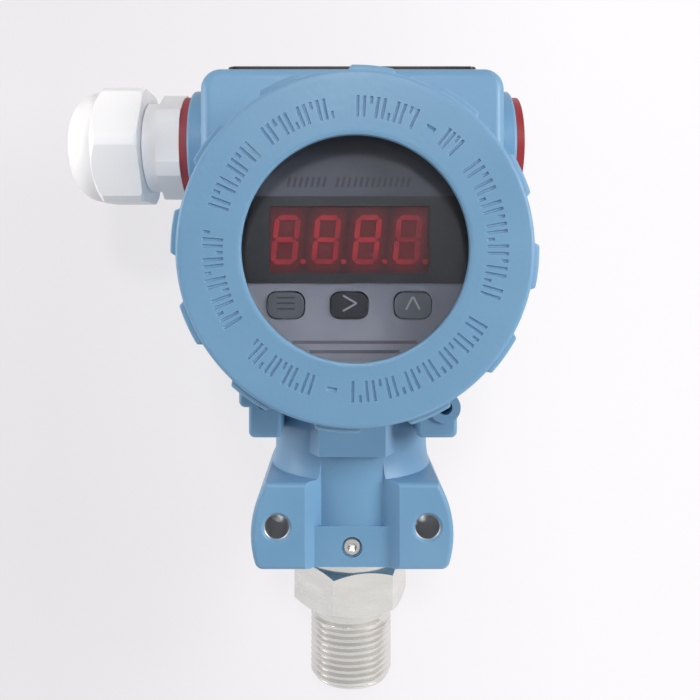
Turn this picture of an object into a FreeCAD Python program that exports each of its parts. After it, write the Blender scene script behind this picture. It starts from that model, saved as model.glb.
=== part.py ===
"""Pressure transmitter: a die-cast field housing with a display, on a threaded process connection.

Millimetres, +Z up. X runs to the right of the display, the display looks along -Y, and the origin is the
centre of the process thread's lower end.
"""

import FreeCAD, Part
import math
import os

from FreeCAD import Vector

# Process connection, from the thread's end upwards
thread_d = 20.0
thread_len = 16.0
thread_chamfer = 1.0
relief_depth = 0.8
relief_len = 2.6
hex_af = 25.0
hex_len = 10.4
hex_chamfer_deg = 30.0
hex_turn_deg = 17.0
stem_d = 24.0
stem_len = 33.0
port_d = 4.0
cell_wall = 2.4
cell_bore_len = 15.0
clip_groove_depth = 1.0
clip_t = 1.2
clip_proud = 1.2
clip_gap = 0.3
clip_slot = 4.0
stem_seal_cord_d = 2.4
stem_seal_rise = 10.3
stem_seal_squeeze = 0.15

# Sensor, stacked in the stem's upper bore
sensor_seal_t = 1.5
sensor_seal_w = 3.55
cell_t = 8.0
cell_dish_inset = 3.05
cell_dish_depth = 0.4
cell_rim_h = 1.5
cell_rim_w = 1.2
header_gap = 1.55
header_t = 3.0
sensor_board_gap = 1.0
sensor_board_t = 1.0
pin_d = 0.8
pin_count = 6
pin_ring_r = 5.0
pin_tail = 1.2

# Head casting
base_gap = 4.2
axis_rise = 72.3
head_margin = 0.8
head_half_d = 24.0
head_top_rise = 40.6
head_corner_r = 4.5
head_edge_r = 2.5
spigot_wall = 4.0
front_spigot_len = 14.0
rear_spigot_len = 11.0
partition_front_y = -14.0
partition_t = 4.0
neck_wall = 6.8
neck_bore_len = 25.0
neck_chamber_gap = 2.0
neck_join_r = 4.0

# Mounting ears at the foot of the neck
ear_d = 46.0
ear_half_d = 21.0
ear_axis_rise = 7.8
ear_h = 19.8
ear_edge_r = 1.2
ear_corner_r = 2.0
ear_hole_d = 5.5
ear_hole_depth = 12.0
ear_hole_inset = 5.95
ear_hole_rise = 9.7
ear_hole_chamfer = 0.7
notch_floor_w = 14.2
notch_mouth_w = 21.4
notch_depth = 3.6
neck_flare_w = 0.8
neck_flare_h = 5.0

# Lugs and the raised panel below the front cover
panel_w = 15.2
panel_flank_deg = 27.0
panel_proud = 1.6
panel_rise = 25.5
lug_front_y = -22.0
lug_back_y = -8.0
lug_bottom_rise = 30.1
lug_top_rise = 44.0
lug_root = 4.4
lug_w = 9.2
lug_edge_r = 1.0
lug_corner_r = 1.4
lock_lug_root = 2.9
lock_lug_w = 7.4
lock_step_w = 2.2
lock_step_lap = 1.0
lock_step_rise = 36.9
earth_hole_d = 3.3
earth_hole_depth = 9.0
earth_hole_inset = 6.3
earth_hole_rise = 37.1
earth_boss_d = 7.0
earth_boss_proud = 0.8
lock_screw_d = 4.0
lock_screw_inset = 3.7
lock_screw_rise = 38.5
lock_screw_len = 12.0

# Cable entries
entry_rise = 25.8
entry_d = 19.2
boss_wall = 4.4
boss_proud = 4.9
boss_edge_r = 0.8

# Covers
cover_gap = 0.3
cover_front_len = 31.7
cover_rear_len = 17.7
cover_face_d = 65.6
cover_skirt_proud = 0.4
cover_rib_proud = 0.9
cover_side_wall = 3.7
cover_rib_count = 12
cover_rib_deg = 12.8
cover_rib_first_deg = 5.5
cover_rib_setback = 2.2
cover_rib_len = 17.0
cover_rib_root = 1.0
cover_shoulder = 1.2
rear_rib_len = 10.0
cover_face_r = 0.9
cover_wall_front = 10.0
cover_wall_rear = 5.0
seal_cord_d = 1.4
seal_gap = 0.3

# Window
window_d = 41.6
window_lip = 1.2
glass_seat_w = 3.2
glass_t = 5.0
gasket_t = 0.5
window_ring_w = 1.6
window_ring_t = 2.0
window_slot_w = 2.4
glass_edge = 0.3

# Display module, all measured from its face
display_gap = 1.1
face_gap = 0.6
face_t = 1.2
display_x = -1.0
mask_t = 0.4
mask_border = 1.9
mask_rise = 1.8
led_w = 30.1
led_h = 12.6
led_proud = 0.1
digit_count = 4
digit_side_gap = 2.8
digit_margin = 1.65
digit_overrun = 0.7
digit_slant_deg = 6.0
segment_w = 0.95
segment_t = 0.2
segment_gap = 0.2
digit_shift = -0.5
dot_d = 1.0
dot_gap = 0.35
key_w = 6.9
key_h = 4.9
key_corner_r = 1.9
key_space = 5.1
key_drop = 10.6
key_proud = 0.5
key_travel = 0.4
key_clearance = 0.2
key_rest_gap = 0.05
key_flange_h = 0.8
key_flange_t = 0.6
switch_w = 6.0
switch_h = 4.6
switch_t = 2.4
switch_stem_d = 3.0
switch_stem_h = 0.6
cup_wall = 0.8
cup_len = 6.6
board_t = 1.6
display_board_back = 6.2

# Boards and what joins them
main_board_edge = 3.0
main_board_gap = 6.4
post_d = 6.0
post_inset = 4.5
post_first_deg = 30.0
standoff_d = 5.0
standoff_inset = 3.5
standoff_first_deg = 90.0
board_screw_d = 2.5
board_screw_head_d = 4.6
board_screw_head_h = 1.4
board_screw_len = 6.0
feedthrough_d = 1.5
feedthrough_pitch = 6.0
feedthrough_drop = 6.0
feedthrough_tail = 1.0
feedthrough_seat = 2.0
can_d = 8.0
can_len = 10.0
can_rise = 4.0
can_pitch = 12.0
processor_w = 10.0
processor_h = 6.0
processor_t = 1.8
processor_drop = 12.0

# Terminal compartment
terminal_end = 0.6
terminal_h = 13.0
terminal_t = 14.0
terminal_drop = 3.5
terminal_count = 4
terminal_pitch = 8.2
terminal_screw_d = 4.0
terminal_head_d = 6.4
terminal_head_h = 1.8
terminal_screw_len = 5.5
terminal_screw_rise = 1.5
terminal_recess = 0.8
terminal_slot_w = 0.8
terminal_slot_depth = 0.9
wire_mouth_w = 4.4
wire_mouth_h = 4.5
wire_mouth_inset = 3.5
inner_earth_x = 14.0
inner_earth_drop = 16.0
inner_earth_head_d = 7.0
inner_earth_head_h = 2.4

# Nameplate
plate_inset_x = 5.9
plate_inset_y = 2.7
plate_t = 0.8
rivet_d = 1.8
rivet_head_d = 3.2
rivet_head_h = 0.6
rivet_len = 3.0
rivet_inset = 3.0
plate_corner_r = 2.0

# Cable gland, outwards along -X
washer_inset = 1.5
washer_t = 2.0
gland_hex_proud = 1.0
gland_hex_len = 5.7
gland_stem_len = 9.0
gland_collar_proud = 1.0
gland_collar_len = 3.4
gland_top_len = 9.5
gland_wall = 2.0
gland_corner_cut = 0.95
nut_wall = 3.8
nut_len = 18.4
nut_gap = 0.3
nut_edge = 0.5
nut_corner_proud = 1.5
nut_shoulder = 1.6
nut_dome_inset = 0.2
nut_crown_r = 7.0
nut_mouth_gap = 1.3
nut_face_wall = 2.2
cable_d = 10.0
claw_wall = 1.0
claw_gap = 0.3
claw_taper = 1.5
claw_lip = 0.6
claw_grip_len = 3.0
claw_free_len = 2.5
claw_slot_w = 0.8
claw_slot_count = 6
gland_seal_w = 1.7
gland_seal_len = 10.2

# Blanking plug
plug_len = 8.5
plug_socket_af = 10.0
plug_socket_depth = 6.0

# Neck set screw
set_screw_d = 4.0
set_screw_rise = 4.5
set_screw_recess_w = 0.4
set_screw_recess_depth = 0.8
screw_pad_proud = 0.15
screw_pad_h = 9.3
set_groove_w = 5.4
set_groove_depth = 1.2
set_tip_gap = 0.3
grub_socket_af = 2.0
grub_socket_depth = 1.8
grub_sunk = 0.2
grub_chamfer = 0.25

# Fits
running_clearance = 0.06
seat_clearance = 0.05
thread_clearance = 0.1

# Widths that follow from the sizes above
relief_d = thread_d - 2 * relief_depth
cell_bore_d = stem_d - 2 * cell_wall
sensor_seal_hole_d = cell_bore_d - 2 * seat_clearance - 2 * sensor_seal_w
cell_dish_d = cell_bore_d - 2 * cell_dish_inset
header_d = cell_bore_d - 2 * header_gap
neck_d = stem_d + 2 * neck_wall
neck_chamber_d = stem_d + 2 * neck_chamber_gap
set_screw_recess_d = set_screw_d + 2 * set_screw_recess_w
cover_skirt_d = cover_face_d + 2 * cover_skirt_proud
cover_rib_d = cover_skirt_d + 2 * cover_rib_proud
spigot_d = cover_skirt_d - 2 * cover_side_wall
cavity_d = spigot_d - 2 * spigot_wall
head_half_w = cover_skirt_d / 2 + head_margin
boss_d = entry_d + 2 * boss_wall
washer_d = boss_d - 2 * washer_inset
ear_hole_pitch = ear_d - 2 * ear_hole_inset
lug_inner_x = neck_d / 2 - lug_root
lock_inner_x = neck_d / 2 - lock_lug_root
earth_hole_x = lug_inner_x + earth_hole_inset
lock_screw_x = -lock_inner_x - lock_screw_inset
plate_w = 2 * head_half_w - 2 * plate_inset_x
plate_d = 2 * head_half_d - 2 * plate_inset_y
glass_d = window_d + 2 * glass_seat_w
face_d = glass_d - 2 * window_ring_w - 2 * face_gap
mask_h = led_h + 2 * mask_border
digit_pitch = (led_w + digit_overrun) / digit_count
digit_w = digit_pitch - digit_side_gap
digit_h = led_h - 2 * digit_margin
key_pitch = key_w + key_space
standoff_ring_r = face_d / 2 - cup_wall - standoff_inset
main_board_d = cavity_d - 2 * main_board_edge
post_ring_r = main_board_d / 2 - post_inset
terminal_w = terminal_count * terminal_pitch + 2 * terminal_end
gland_bore_d = cable_d + 2 * (gland_seal_w + claw_wall + claw_gap)
gland_top_d = gland_bore_d + 2 * gland_wall
gland_collar_d = gland_top_d + 2 * gland_collar_proud
gland_hex_af = gland_collar_d + 2 * gland_hex_proud
nut_af = gland_top_d + 2 * nut_wall
nut_mouth_d = cable_d + 2 * nut_mouth_gap

# Levels and faces that follow from them
hex_z = thread_len + relief_len
stem_z = hex_z + hex_len
base_z = stem_z + base_gap
stem_top_z = stem_z + stem_len
axis_z = base_z + axis_rise
top_z = axis_z + head_top_rise
entry_z = axis_z + entry_rise
ear_axis_z = base_z + ear_axis_rise
ear_top_z = base_z + ear_h
screw_pad_y = -neck_d / 2 - screw_pad_proud
front_cover_y = -head_half_d - cover_gap - cover_front_len
rear_cover_y = head_half_d + cover_gap + cover_rear_len
face_y = front_cover_y + window_lip + gasket_t + glass_t + display_gap
spigot_front_y = -head_half_d - front_spigot_len
spigot_rear_y = head_half_d + rear_spigot_len
partition_rear_y = partition_front_y + partition_t
main_board_rear_y = partition_front_y - main_board_gap
main_board_front_y = main_board_rear_y - board_t
display_board_rear_y = face_y + display_board_back + board_t
display_board_front_y = face_y + display_board_back
boss_x = head_half_w + boss_proud
cover_bore_d = spigot_d + 2 * thread_clearance
neck_chamber_z = base_z + neck_bore_len
stem_seal_z = base_z + stem_seal_rise
clip_z = neck_chamber_z + clip_gap
seal_bore_r = spigot_d / 2 + seal_cord_d + 2 * seal_gap
seal_floor_y = -head_half_d - cover_gap - seal_cord_d - 2 * seal_gap

parts = {}


def cylinder_x(d, x0, x1, y=0.0, z=0.0):
    """A round bar along X."""
    return Part.makeCylinder(d / 2, x1 - x0, Vector(x0, y, z), Vector(1, 0, 0))


def cylinder_y(d, y0, y1, x=0.0, z=0.0):
    """A round bar along Y."""
    return Part.makeCylinder(d / 2, y1 - y0, Vector(x, y0, z), Vector(0, 1, 0))


def cylinder_z(d, z0, z1, x=0.0, y=0.0):
    """A round bar along Z."""
    return Part.makeCylinder(d / 2, z1 - z0, Vector(x, y, z0), Vector(0, 0, 1))


def box(x0, x1, y0, y1, z0, z1):
    """A block between two corners."""
    return Part.makeBox(x1 - x0, y1 - y0, z1 - z0, Vector(x0, y0, z0))


def turned(points, origin, axis, radial):
    """A full turn of a profile given as (radius, distance along the axis) points."""
    corners = [origin + radial * r + axis * a for r, a in points]
    face = Part.Face(Part.makePolygon(corners + corners[:1]))
    return face.revolve(origin, axis, 360)


def turned_z(points):
    """A solid of revolution about the vertical axis of the process connection."""
    return turned(points, Vector(0, 0, 0), Vector(0, 0, 1), Vector(1, 0, 0))


def turned_cover(points):
    """A solid of revolution about the covers' axis, with distances along +Y."""
    return turned(points, Vector(0, 0, axis_z), Vector(0, 1, 0), Vector(1, 0, 0))


def turned_entry(points):
    """A solid of revolution about the cable entries' axis, with distances along +X."""
    return turned(points, Vector(0, 0, entry_z), Vector(1, 0, 0), Vector(0, 0, 1))


def hexagon(af, length, origin, axis, first):
    """A hexagonal bar; first points at one corner."""
    across = axis.cross(first)
    r = af / 2 / math.cos(math.pi / 6)
    turns = [math.radians(60 * k) for k in range(6)]
    corners = [origin + first * (r * math.cos(t)) + across * (r * math.sin(t)) for t in turns]
    return Part.Face(Part.makePolygon(corners + corners[:1])).extrude(axis * length)


def edges_in_plane(shape, axis, value):
    """The edges that lie wholly in one plane across an axis (0 for X, 1 for Y, 2 for Z)."""
    chosen = []
    for edge in shape.Edges:
        bound = edge.BoundBox
        low = (bound.XMin, bound.YMin, bound.ZMin)[axis]
        high = (bound.XMax, bound.YMax, bound.ZMax)[axis]
        if abs(low - value) < 1e-4 and abs(high - value) < 1e-4:
            chosen.append(edge)
    return chosen


def polar(radius, degrees, z=0.0):
    """A point (x, z) on a circle about a level on the covers' axis, clockwise from the top."""
    turn = math.radians(degrees)
    return radius * math.sin(turn), z + radius * math.cos(turn)


def ring_points(radius, start_deg, count=3):
    """Evenly spaced (x, z) points about the covers' axis."""
    return [polar(radius, start_deg + 360 / count * k, axis_z) for k in range(count)]


def screw_y(x, z, seat_y, d, length, head_d, head_h, toward=1.0):
    """A pan-head screw seated at seat_y, whose shank runs along toward * Y."""
    head = cylinder_y(head_d, seat_y, seat_y + head_h, x, z)
    shank = cylinder_y(d, seat_y - length, seat_y, x, z)
    if toward > 0:
        head = cylinder_y(head_d, seat_y - head_h, seat_y, x, z)
        shank = cylinder_y(d, seat_y, seat_y + length, x, z)
    return head.fuse(shank).removeSplitter()


# ---------------------------------------------------------------- process connection


def process_connection():
    """Thread, relief, hexagon and stem, with the pressure port and the sensor's seat."""
    r_thread = thread_d / 2
    screw = turned_z([
        (0, 0),
        (r_thread - thread_chamfer, 0),
        (r_thread, thread_chamfer),
        (r_thread, thread_len - thread_chamfer),
        (relief_d / 2, thread_len),
        (relief_d / 2, hex_z),
        (0, hex_z),
    ])
    turn = math.radians(-90 - hex_turn_deg)
    corner = Vector(math.cos(turn), math.sin(turn), 0)
    bar = hexagon(hex_af, hex_len, Vector(0, 0, hex_z), Vector(0, 0, 1), corner)
    flat_r = hex_af / 2
    point_r = flat_r / math.cos(math.pi / 6)
    drop = (point_r - flat_r) * math.tan(math.radians(hex_chamfer_deg))
    limit = turned_z([
        (0, hex_z),
        (flat_r, hex_z),
        (point_r, hex_z + drop),
        (point_r, stem_z - drop),
        (flat_r, stem_z),
        (0, stem_z),
    ])
    stem = cylinder_z(stem_d, stem_z, stem_top_z)
    body = screw.fuse([bar.common(limit), stem]).removeSplitter()

    port = cylinder_z(port_d, 0, stem_top_z)
    seat = cylinder_z(cell_bore_d, stem_top_z - cell_bore_len, stem_top_z)
    set_z = base_z + set_screw_rise
    grooves = [
        groove_z(set_z - set_groove_w / 2, set_z + set_groove_w / 2, set_groove_depth),
        groove_z(stem_seal_z - stem_seal_cord_d / 2, stem_seal_z + stem_seal_cord_d / 2, stem_seal_cord_d),
        groove_z(clip_z, clip_z + clip_t, clip_groove_depth),
    ]
    return body.cut([port, seat] + grooves)


def groove_z(z0, z1, depth):
    """A square groove round the stem."""
    return cylinder_z(stem_d + 2, z0, z1).cut(cylinder_z(stem_d - 2 * depth, z0, z1))


def stem_pieces():
    """The seal and the clip on the stem, and the sensor stacked in its upper bore."""
    cord_r = stem_seal_cord_d / 2 - stem_seal_squeeze
    ring_r = stem_d / 2 - stem_seal_cord_d / 2 - stem_seal_squeeze
    parts["stem_seal"] = Part.makeTorus(ring_r, cord_r, Vector(0, 0, stem_seal_z))
    clip = cylinder_z(stem_d + 2 * clip_proud, clip_z, clip_z + clip_t)
    clip_bore_d = stem_d - 2 * clip_groove_depth + 2 * seat_clearance
    clip = clip.cut(cylinder_z(clip_bore_d, clip_z, clip_z + clip_t))
    slot = box(-clip_slot / 2, clip_slot / 2, 0, stem_d, clip_z, clip_z + clip_t)
    parts["stem_clip"] = clip.cut(slot)

    wide = cell_bore_d - 2 * seat_clearance
    floor_z = stem_top_z - cell_bore_len
    cell_z = floor_z + sensor_seal_t
    header_z = cell_z + cell_t
    board_z = header_z + header_t + sensor_board_gap
    seal = cylinder_z(wide, floor_z, cell_z)
    parts["sensor_seal"] = seal.cut(cylinder_z(sensor_seal_hole_d, floor_z, cell_z))
    cell = cylinder_z(wide, cell_z, header_z)
    dish = cylinder_z(cell_dish_d, cell_z, cell_z + cell_dish_depth)
    rim = cylinder_z(wide, header_z - cell_rim_h, header_z)
    rim = rim.cut(cylinder_z(wide - 2 * cell_rim_w, header_z - cell_rim_h, header_z))
    parts["sensor_cell"] = cell.cut([dish, rim])
    spots = [polar(pin_ring_r, 360 / pin_count * k) for k in range(pin_count)]
    header = cylinder_z(header_d, header_z, header_z + header_t)
    header_holes = [cylinder_z(pin_d, header_z, header_z + header_t, x, y) for x, y in spots]
    parts["sensor_header"] = header.cut(header_holes)
    board_top_z = board_z + sensor_board_t
    board = cylinder_z(header_d, board_z, board_top_z)
    board_holes = [cylinder_z(pin_d, board_z, board_top_z, x, y) for x, y in spots]
    parts["sensor_board"] = board.cut(board_holes)
    pins = [cylinder_z(pin_d, header_z, board_top_z + pin_tail, x, y) for x, y in spots]
    parts["sensor_pins"] = Part.makeCompound(pins)


# ---------------------------------------------------------------- head casting


def head_block():
    """The arch-shaped box round both compartments, with its rounded front and rear edges."""
    w = head_half_w
    r = head_corner_r
    bend = r * (1 - math.sqrt(0.5))
    points = {
        "left": Vector(-w, 0, axis_z),
        "left_corner": Vector(-w, 0, top_z - r),
        "top_left": Vector(-w + r, 0, top_z),
        "top_right": Vector(w - r, 0, top_z),
        "right_corner": Vector(w, 0, top_z - r),
        "right": Vector(w, 0, axis_z),
    }
    edges = [
        Part.LineSegment(points["left"], points["left_corner"]),
        Part.Arc(points["left_corner"], Vector(-w + bend, 0, top_z - bend), points["top_left"]),
        Part.LineSegment(points["top_left"], points["top_right"]),
        Part.Arc(points["top_right"], Vector(w - bend, 0, top_z - bend), points["right_corner"]),
        Part.LineSegment(points["right_corner"], points["right"]),
        Part.Arc(points["right"], Vector(0, 0, axis_z - w), points["left"]),
    ]
    wire = Part.Wire([edge.toShape() for edge in edges])
    wire.translate(Vector(0, -head_half_d, 0))
    block = Part.Face(wire).extrude(Vector(0, 2 * head_half_d, 0))
    rims = edges_in_plane(block, 1, -head_half_d) + edges_in_plane(block, 1, head_half_d)
    return block.makeFillet(head_edge_r, rims)


def ears():
    """The pair of mounting ears: a short horizontal drum cut flat above and below."""
    drum = cylinder_y(ear_d, -ear_half_d, ear_half_d, 0, ear_axis_z)
    reach = ear_d
    drum = drum.common(box(-reach, reach, -ear_half_d, ear_half_d, base_z, ear_top_z))
    feet = [edge for edge in edges_in_plane(drum, 2, base_z) if edge.BoundBox.YLength > ear_half_d]
    drum = drum.makeFillet(ear_corner_r, feet)
    rims = edges_in_plane(drum, 1, -ear_half_d) + edges_in_plane(drum, 1, ear_half_d)
    drum = drum.makeFillet(ear_edge_r, rims).fuse(neck_flare())
    for side in (-1, 1):
        floor_y = side * (ear_half_d - notch_depth)
        mouth_y = side * (ear_half_d + notch_depth)
        mouth = notch_mouth_w / 2 + (notch_mouth_w - notch_floor_w) / 2
        corners = [
            Vector(-notch_floor_w / 2, floor_y, base_z - 1),
            Vector(notch_floor_w / 2, floor_y, base_z - 1),
            Vector(mouth, mouth_y, base_z - 1),
            Vector(-mouth, mouth_y, base_z - 1),
        ]
        notch = Part.Face(Part.makePolygon(corners + corners[:1]))
        drum = drum.cut(notch.extrude(Vector(0, 0, ear_h + neck_flare_h + 2)))
    return drum


def neck_flare():
    """The hollow curve by which the neck widens just above the ears' flat top."""
    inner = stem_d / 2 + neck_wall / 2
    root = neck_d / 2
    foot = root + neck_flare_w
    curve_r = (neck_flare_w ** 2 + neck_flare_h ** 2) / (2 * neck_flare_w)
    middle = root + curve_r - math.sqrt(curve_r ** 2 - (neck_flare_h / 2) ** 2)
    rise = ear_top_z + neck_flare_h
    edges = [
        Part.LineSegment(Vector(inner, 0, ear_top_z), Vector(foot, 0, ear_top_z)),
        Part.Arc(Vector(foot, 0, ear_top_z), Vector(middle, 0, rise - neck_flare_h / 2),
                 Vector(root, 0, rise)),
        Part.LineSegment(Vector(root, 0, rise), Vector(inner, 0, rise)),
        Part.LineSegment(Vector(inner, 0, rise), Vector(inner, 0, ear_top_z)),
    ]
    section = Part.Face(Part.Wire([edge.toShape() for edge in edges]))
    return section.revolve(Vector(0, 0, 0), Vector(0, 0, 1), 360)


def neck_join(shape):
    """The closed edge where the neck runs into the underside of the head."""
    chosen = []
    for edge in shape.Edges:
        bound = edge.BoundBox
        round_neck = abs(bound.XLength - neck_d) < 0.1 and abs(bound.YLength - neck_d) < 0.1
        if round_neck and bound.ZMin > axis_z - head_half_w - 0.1:
            chosen.append(edge)
    return chosen


def ear_holes():
    """Blind fixing holes with chamfered mouths, one in each ear's front face."""
    z = base_z + ear_hole_rise
    inward = Vector(0, 1, 0)
    cuts = []
    for x in (-ear_hole_pitch / 2, ear_hole_pitch / 2):
        mouth = Vector(x, -ear_half_d, z)
        flare = ear_hole_d / 2 + ear_hole_chamfer
        cuts.append(Part.makeCylinder(ear_hole_d / 2, ear_hole_depth, mouth, inward))
        cuts.append(Part.makeCone(flare, ear_hole_d / 2, ear_hole_chamfer, mouth, inward))
    return cuts


def lug(x0, x1, rise):
    """A cast block beside the neck, behind the front cover's rim."""
    block = box(x0, x1, lug_front_y, lug_back_y, base_z + rise, base_z + lug_top_rise)
    feet = [edge for edge in edges_in_plane(block, 2, base_z + rise) if edge.BoundBox.XLength < 1e-6]
    block = block.makeFillet(lug_corner_r, feet)
    return block.makeFillet(lug_edge_r, edges_in_plane(block, 1, lug_front_y))


def lugs():
    """The earth lug on the right, and the stepped lock lug on the left."""
    right = lug(lug_inner_x, lug_inner_x + lug_w, lug_bottom_rise)
    boss_z = base_z + earth_hole_rise
    boss = cylinder_y(earth_boss_d, lug_front_y - earth_boss_proud, lug_back_y, earth_hole_x, boss_z)
    outer_x = -lock_inner_x - lock_lug_w
    left = lug(outer_x, -lock_inner_x, lug_bottom_rise)
    step = lug(outer_x - lock_step_w, -lock_inner_x - lock_step_lap, lock_step_rise)
    return [right, boss, left, step]


def raised_panel():
    """The flat pad on the neck's front, with sloping flanks."""
    front_y = -neck_d / 2 - panel_proud
    half = panel_w / 2
    spread = -front_y * math.tan(math.radians(panel_flank_deg))
    z = base_z + panel_rise
    corners = [
        Vector(-half, front_y, z),
        Vector(half, front_y, z),
        Vector(half + spread, 0, z),
        Vector(-half - spread, 0, z),
    ]
    return Part.Face(Part.makePolygon(corners + corners[:1])).extrude(Vector(0, 0, axis_z - z))


def housing():
    """The whole head as one casting, with its bores and holes."""
    bosses = cylinder_x(boss_d, -boss_x, boss_x, 0, entry_z)
    rims = edges_in_plane(bosses, 0, -boss_x) + edges_in_plane(bosses, 0, boss_x)
    bosses = bosses.makeFillet(boss_edge_r, rims)
    neck = cylinder_z(neck_d, base_z, axis_z)
    screw_pad = box(-notch_mouth_w / 2, notch_mouth_w / 2, screw_pad_y, 0, base_z, base_z + screw_pad_h)
    spigots = cylinder_y(spigot_d, spigot_front_y, spigot_rear_y, 0, axis_z)
    trunk = head_block().fuse([bosses, neck]).removeSplitter()
    trunk = trunk.makeFillet(neck_join_r, neck_join(trunk))
    casting = trunk.fuse([raised_panel(), screw_pad, spigots, ears()] + lugs()).removeSplitter()

    cuts = [
        cylinder_y(cavity_d, spigot_front_y, partition_front_y, 0, axis_z),
        cylinder_y(cavity_d, partition_rear_y, spigot_rear_y, 0, axis_z),
        cylinder_x(entry_d, -boss_x, boss_x, 0, entry_z),
        cylinder_z(stem_d + 2 * running_clearance, base_z, axis_z - cavity_d / 2),
        cylinder_z(neck_chamber_d, neck_chamber_z, axis_z - cavity_d / 2 + 4),
    ]
    cuts += ear_holes()
    earth_z = base_z + earth_hole_rise
    earth_y = lug_front_y - earth_boss_proud
    cuts.append(cylinder_y(earth_hole_d, earth_y, earth_y + earth_hole_depth, earth_hole_x, earth_z))
    lock_z = base_z + lock_screw_rise
    lock_hole_d = lock_screw_d + 2 * seat_clearance
    lock_end_y = lug_front_y + lock_screw_len
    cuts.append(cylinder_y(lock_hole_d, lug_front_y, lock_end_y, lock_screw_x, lock_z))
    set_z = base_z + set_screw_rise
    cuts.append(cylinder_y(set_screw_d + 2 * seat_clearance, screw_pad_y, 0, 0, set_z))
    recess_y = screw_pad_y + set_screw_recess_depth
    cuts.append(cylinder_y(set_screw_recess_d, screw_pad_y, recess_y, 0, set_z))
    for x in feedthrough_xs():
        z = axis_z - feedthrough_drop
        hole_d = feedthrough_d + 2 * seat_clearance
        cuts.append(cylinder_y(hole_d, partition_front_y, partition_rear_y, x, z))
    casting = casting.cut(cuts)

    posts = []
    for x, z in ring_points(post_ring_r, post_first_deg):
        post = cylinder_y(post_d, main_board_rear_y, partition_front_y, x, z)
        posts.append(post)
    casting = casting.fuse(posts)
    hole_d = board_screw_d + 2 * seat_clearance
    holes = []
    for x, z in ring_points(post_ring_r, post_first_deg):
        holes.append(cylinder_y(hole_d, main_board_rear_y, main_board_rear_y + board_screw_len, x, z))
    holes.append(cylinder_y(terminal_screw_d + 2 * seat_clearance, partition_front_y, partition_rear_y,
                            inner_earth_x, axis_z - inner_earth_drop))
    for x in (-rivet_x(), rivet_x()):
        holes.append(cylinder_z(rivet_d + 2 * seat_clearance, top_z - rivet_len, top_z, x))
    return casting.cut(holes).removeSplitter()


def feedthrough_xs():
    """Places of the feedthrough pins along X."""
    return [-feedthrough_pitch, 0.0, feedthrough_pitch]


def rivet_x():
    """Distance of each nameplate rivet from the middle."""
    return plate_w / 2 - rivet_inset


def grub_screw(d, outer_y, tip_y, x, z):
    """A headless screw with a chamfered outer end and a hexagonal socket."""
    screw = cylinder_y(d, outer_y, tip_y, x, z)
    screw = screw.makeChamfer(grub_chamfer, edges_in_plane(screw, 1, outer_y))
    return screw.cut(grub_socket(x, outer_y, z))


def head_screws():
    """The set screw that clamps the stem and the grub screw that locks the front cover."""
    set_z = base_z + set_screw_rise
    outer_y = screw_pad_y + grub_sunk
    tip_y = -stem_d / 2 + set_groove_depth - set_tip_gap
    parts["neck_set_screw"] = grub_screw(set_screw_d, outer_y, tip_y, 0, set_z)
    lock_z = base_z + lock_screw_rise
    lock_y = lug_front_y + grub_sunk
    lock_end_y = lug_front_y + lock_screw_len
    parts["cover_lock_screw"] = grub_screw(lock_screw_d, lock_y, lock_end_y, lock_screw_x, lock_z)


def grub_socket(x, y, z):
    """The hexagonal socket in the front end of a grub screw."""
    return hexagon(grub_socket_af, grub_socket_depth, Vector(x, y, z), Vector(0, 1, 0), Vector(1, 0, 0))


def nameplate():
    """The blank black plate on the flat top, and its two rivets."""
    plate = box(-plate_w / 2, plate_w / 2, -plate_d / 2, plate_d / 2, top_z, top_z + plate_t)
    upright = [e for e in plate.Edges if abs(e.Vertexes[0].Z - e.Vertexes[1].Z) > plate_t / 2]
    plate = plate.makeFillet(plate_corner_r, upright)
    holes = []
    rivets = []
    for x in (-rivet_x(), rivet_x()):
        holes.append(cylinder_z(rivet_d + 2 * seat_clearance, top_z, top_z + plate_t, x))
        shank = cylinder_z(rivet_d, top_z - rivet_len, top_z + plate_t, x)
        head = cylinder_z(rivet_head_d, top_z + plate_t, top_z + plate_t + rivet_head_h, x)
        head = head.makeFillet(rivet_head_h * 0.8, edges_in_plane(head, 2, top_z + plate_t + rivet_head_h))
        rivets.append(shank.fuse(head).removeSplitter())
    parts["nameplate"] = plate.cut(holes)
    parts["nameplate_rivets"] = Part.makeCompound(rivets)


# ---------------------------------------------------------------- covers


def cover_ribs(y0, y1):
    """The grip ribs round a cover's rim, each a slice of a ring."""
    ribs = []
    half = math.radians(cover_rib_deg / 2)
    outer = cover_rib_d / 2
    inner = cover_skirt_d / 2 - cover_rib_root
    for k in range(cover_rib_count):
        middle = math.radians(cover_rib_first_deg + 360 / cover_rib_count * k)
        places = []
        for r, turn in ((inner, -half), (outer, -half), (outer, 0), (outer, half), (inner, half)):
            t = middle + turn
            places.append(Vector(r * math.sin(t), y0, axis_z + r * math.cos(t)))
        edges = [
            Part.LineSegment(places[0], places[1]).toShape(),
            Part.Arc(places[1], places[2], places[3]).toShape(),
            Part.LineSegment(places[3], places[4]).toShape(),
            Part.LineSegment(places[4], places[0]).toShape(),
        ]
        rib = Part.Face(Part.Wire(edges)).extrude(Vector(0, y1 - y0, 0))
        ribs.append(rib)
    return ribs


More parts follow.
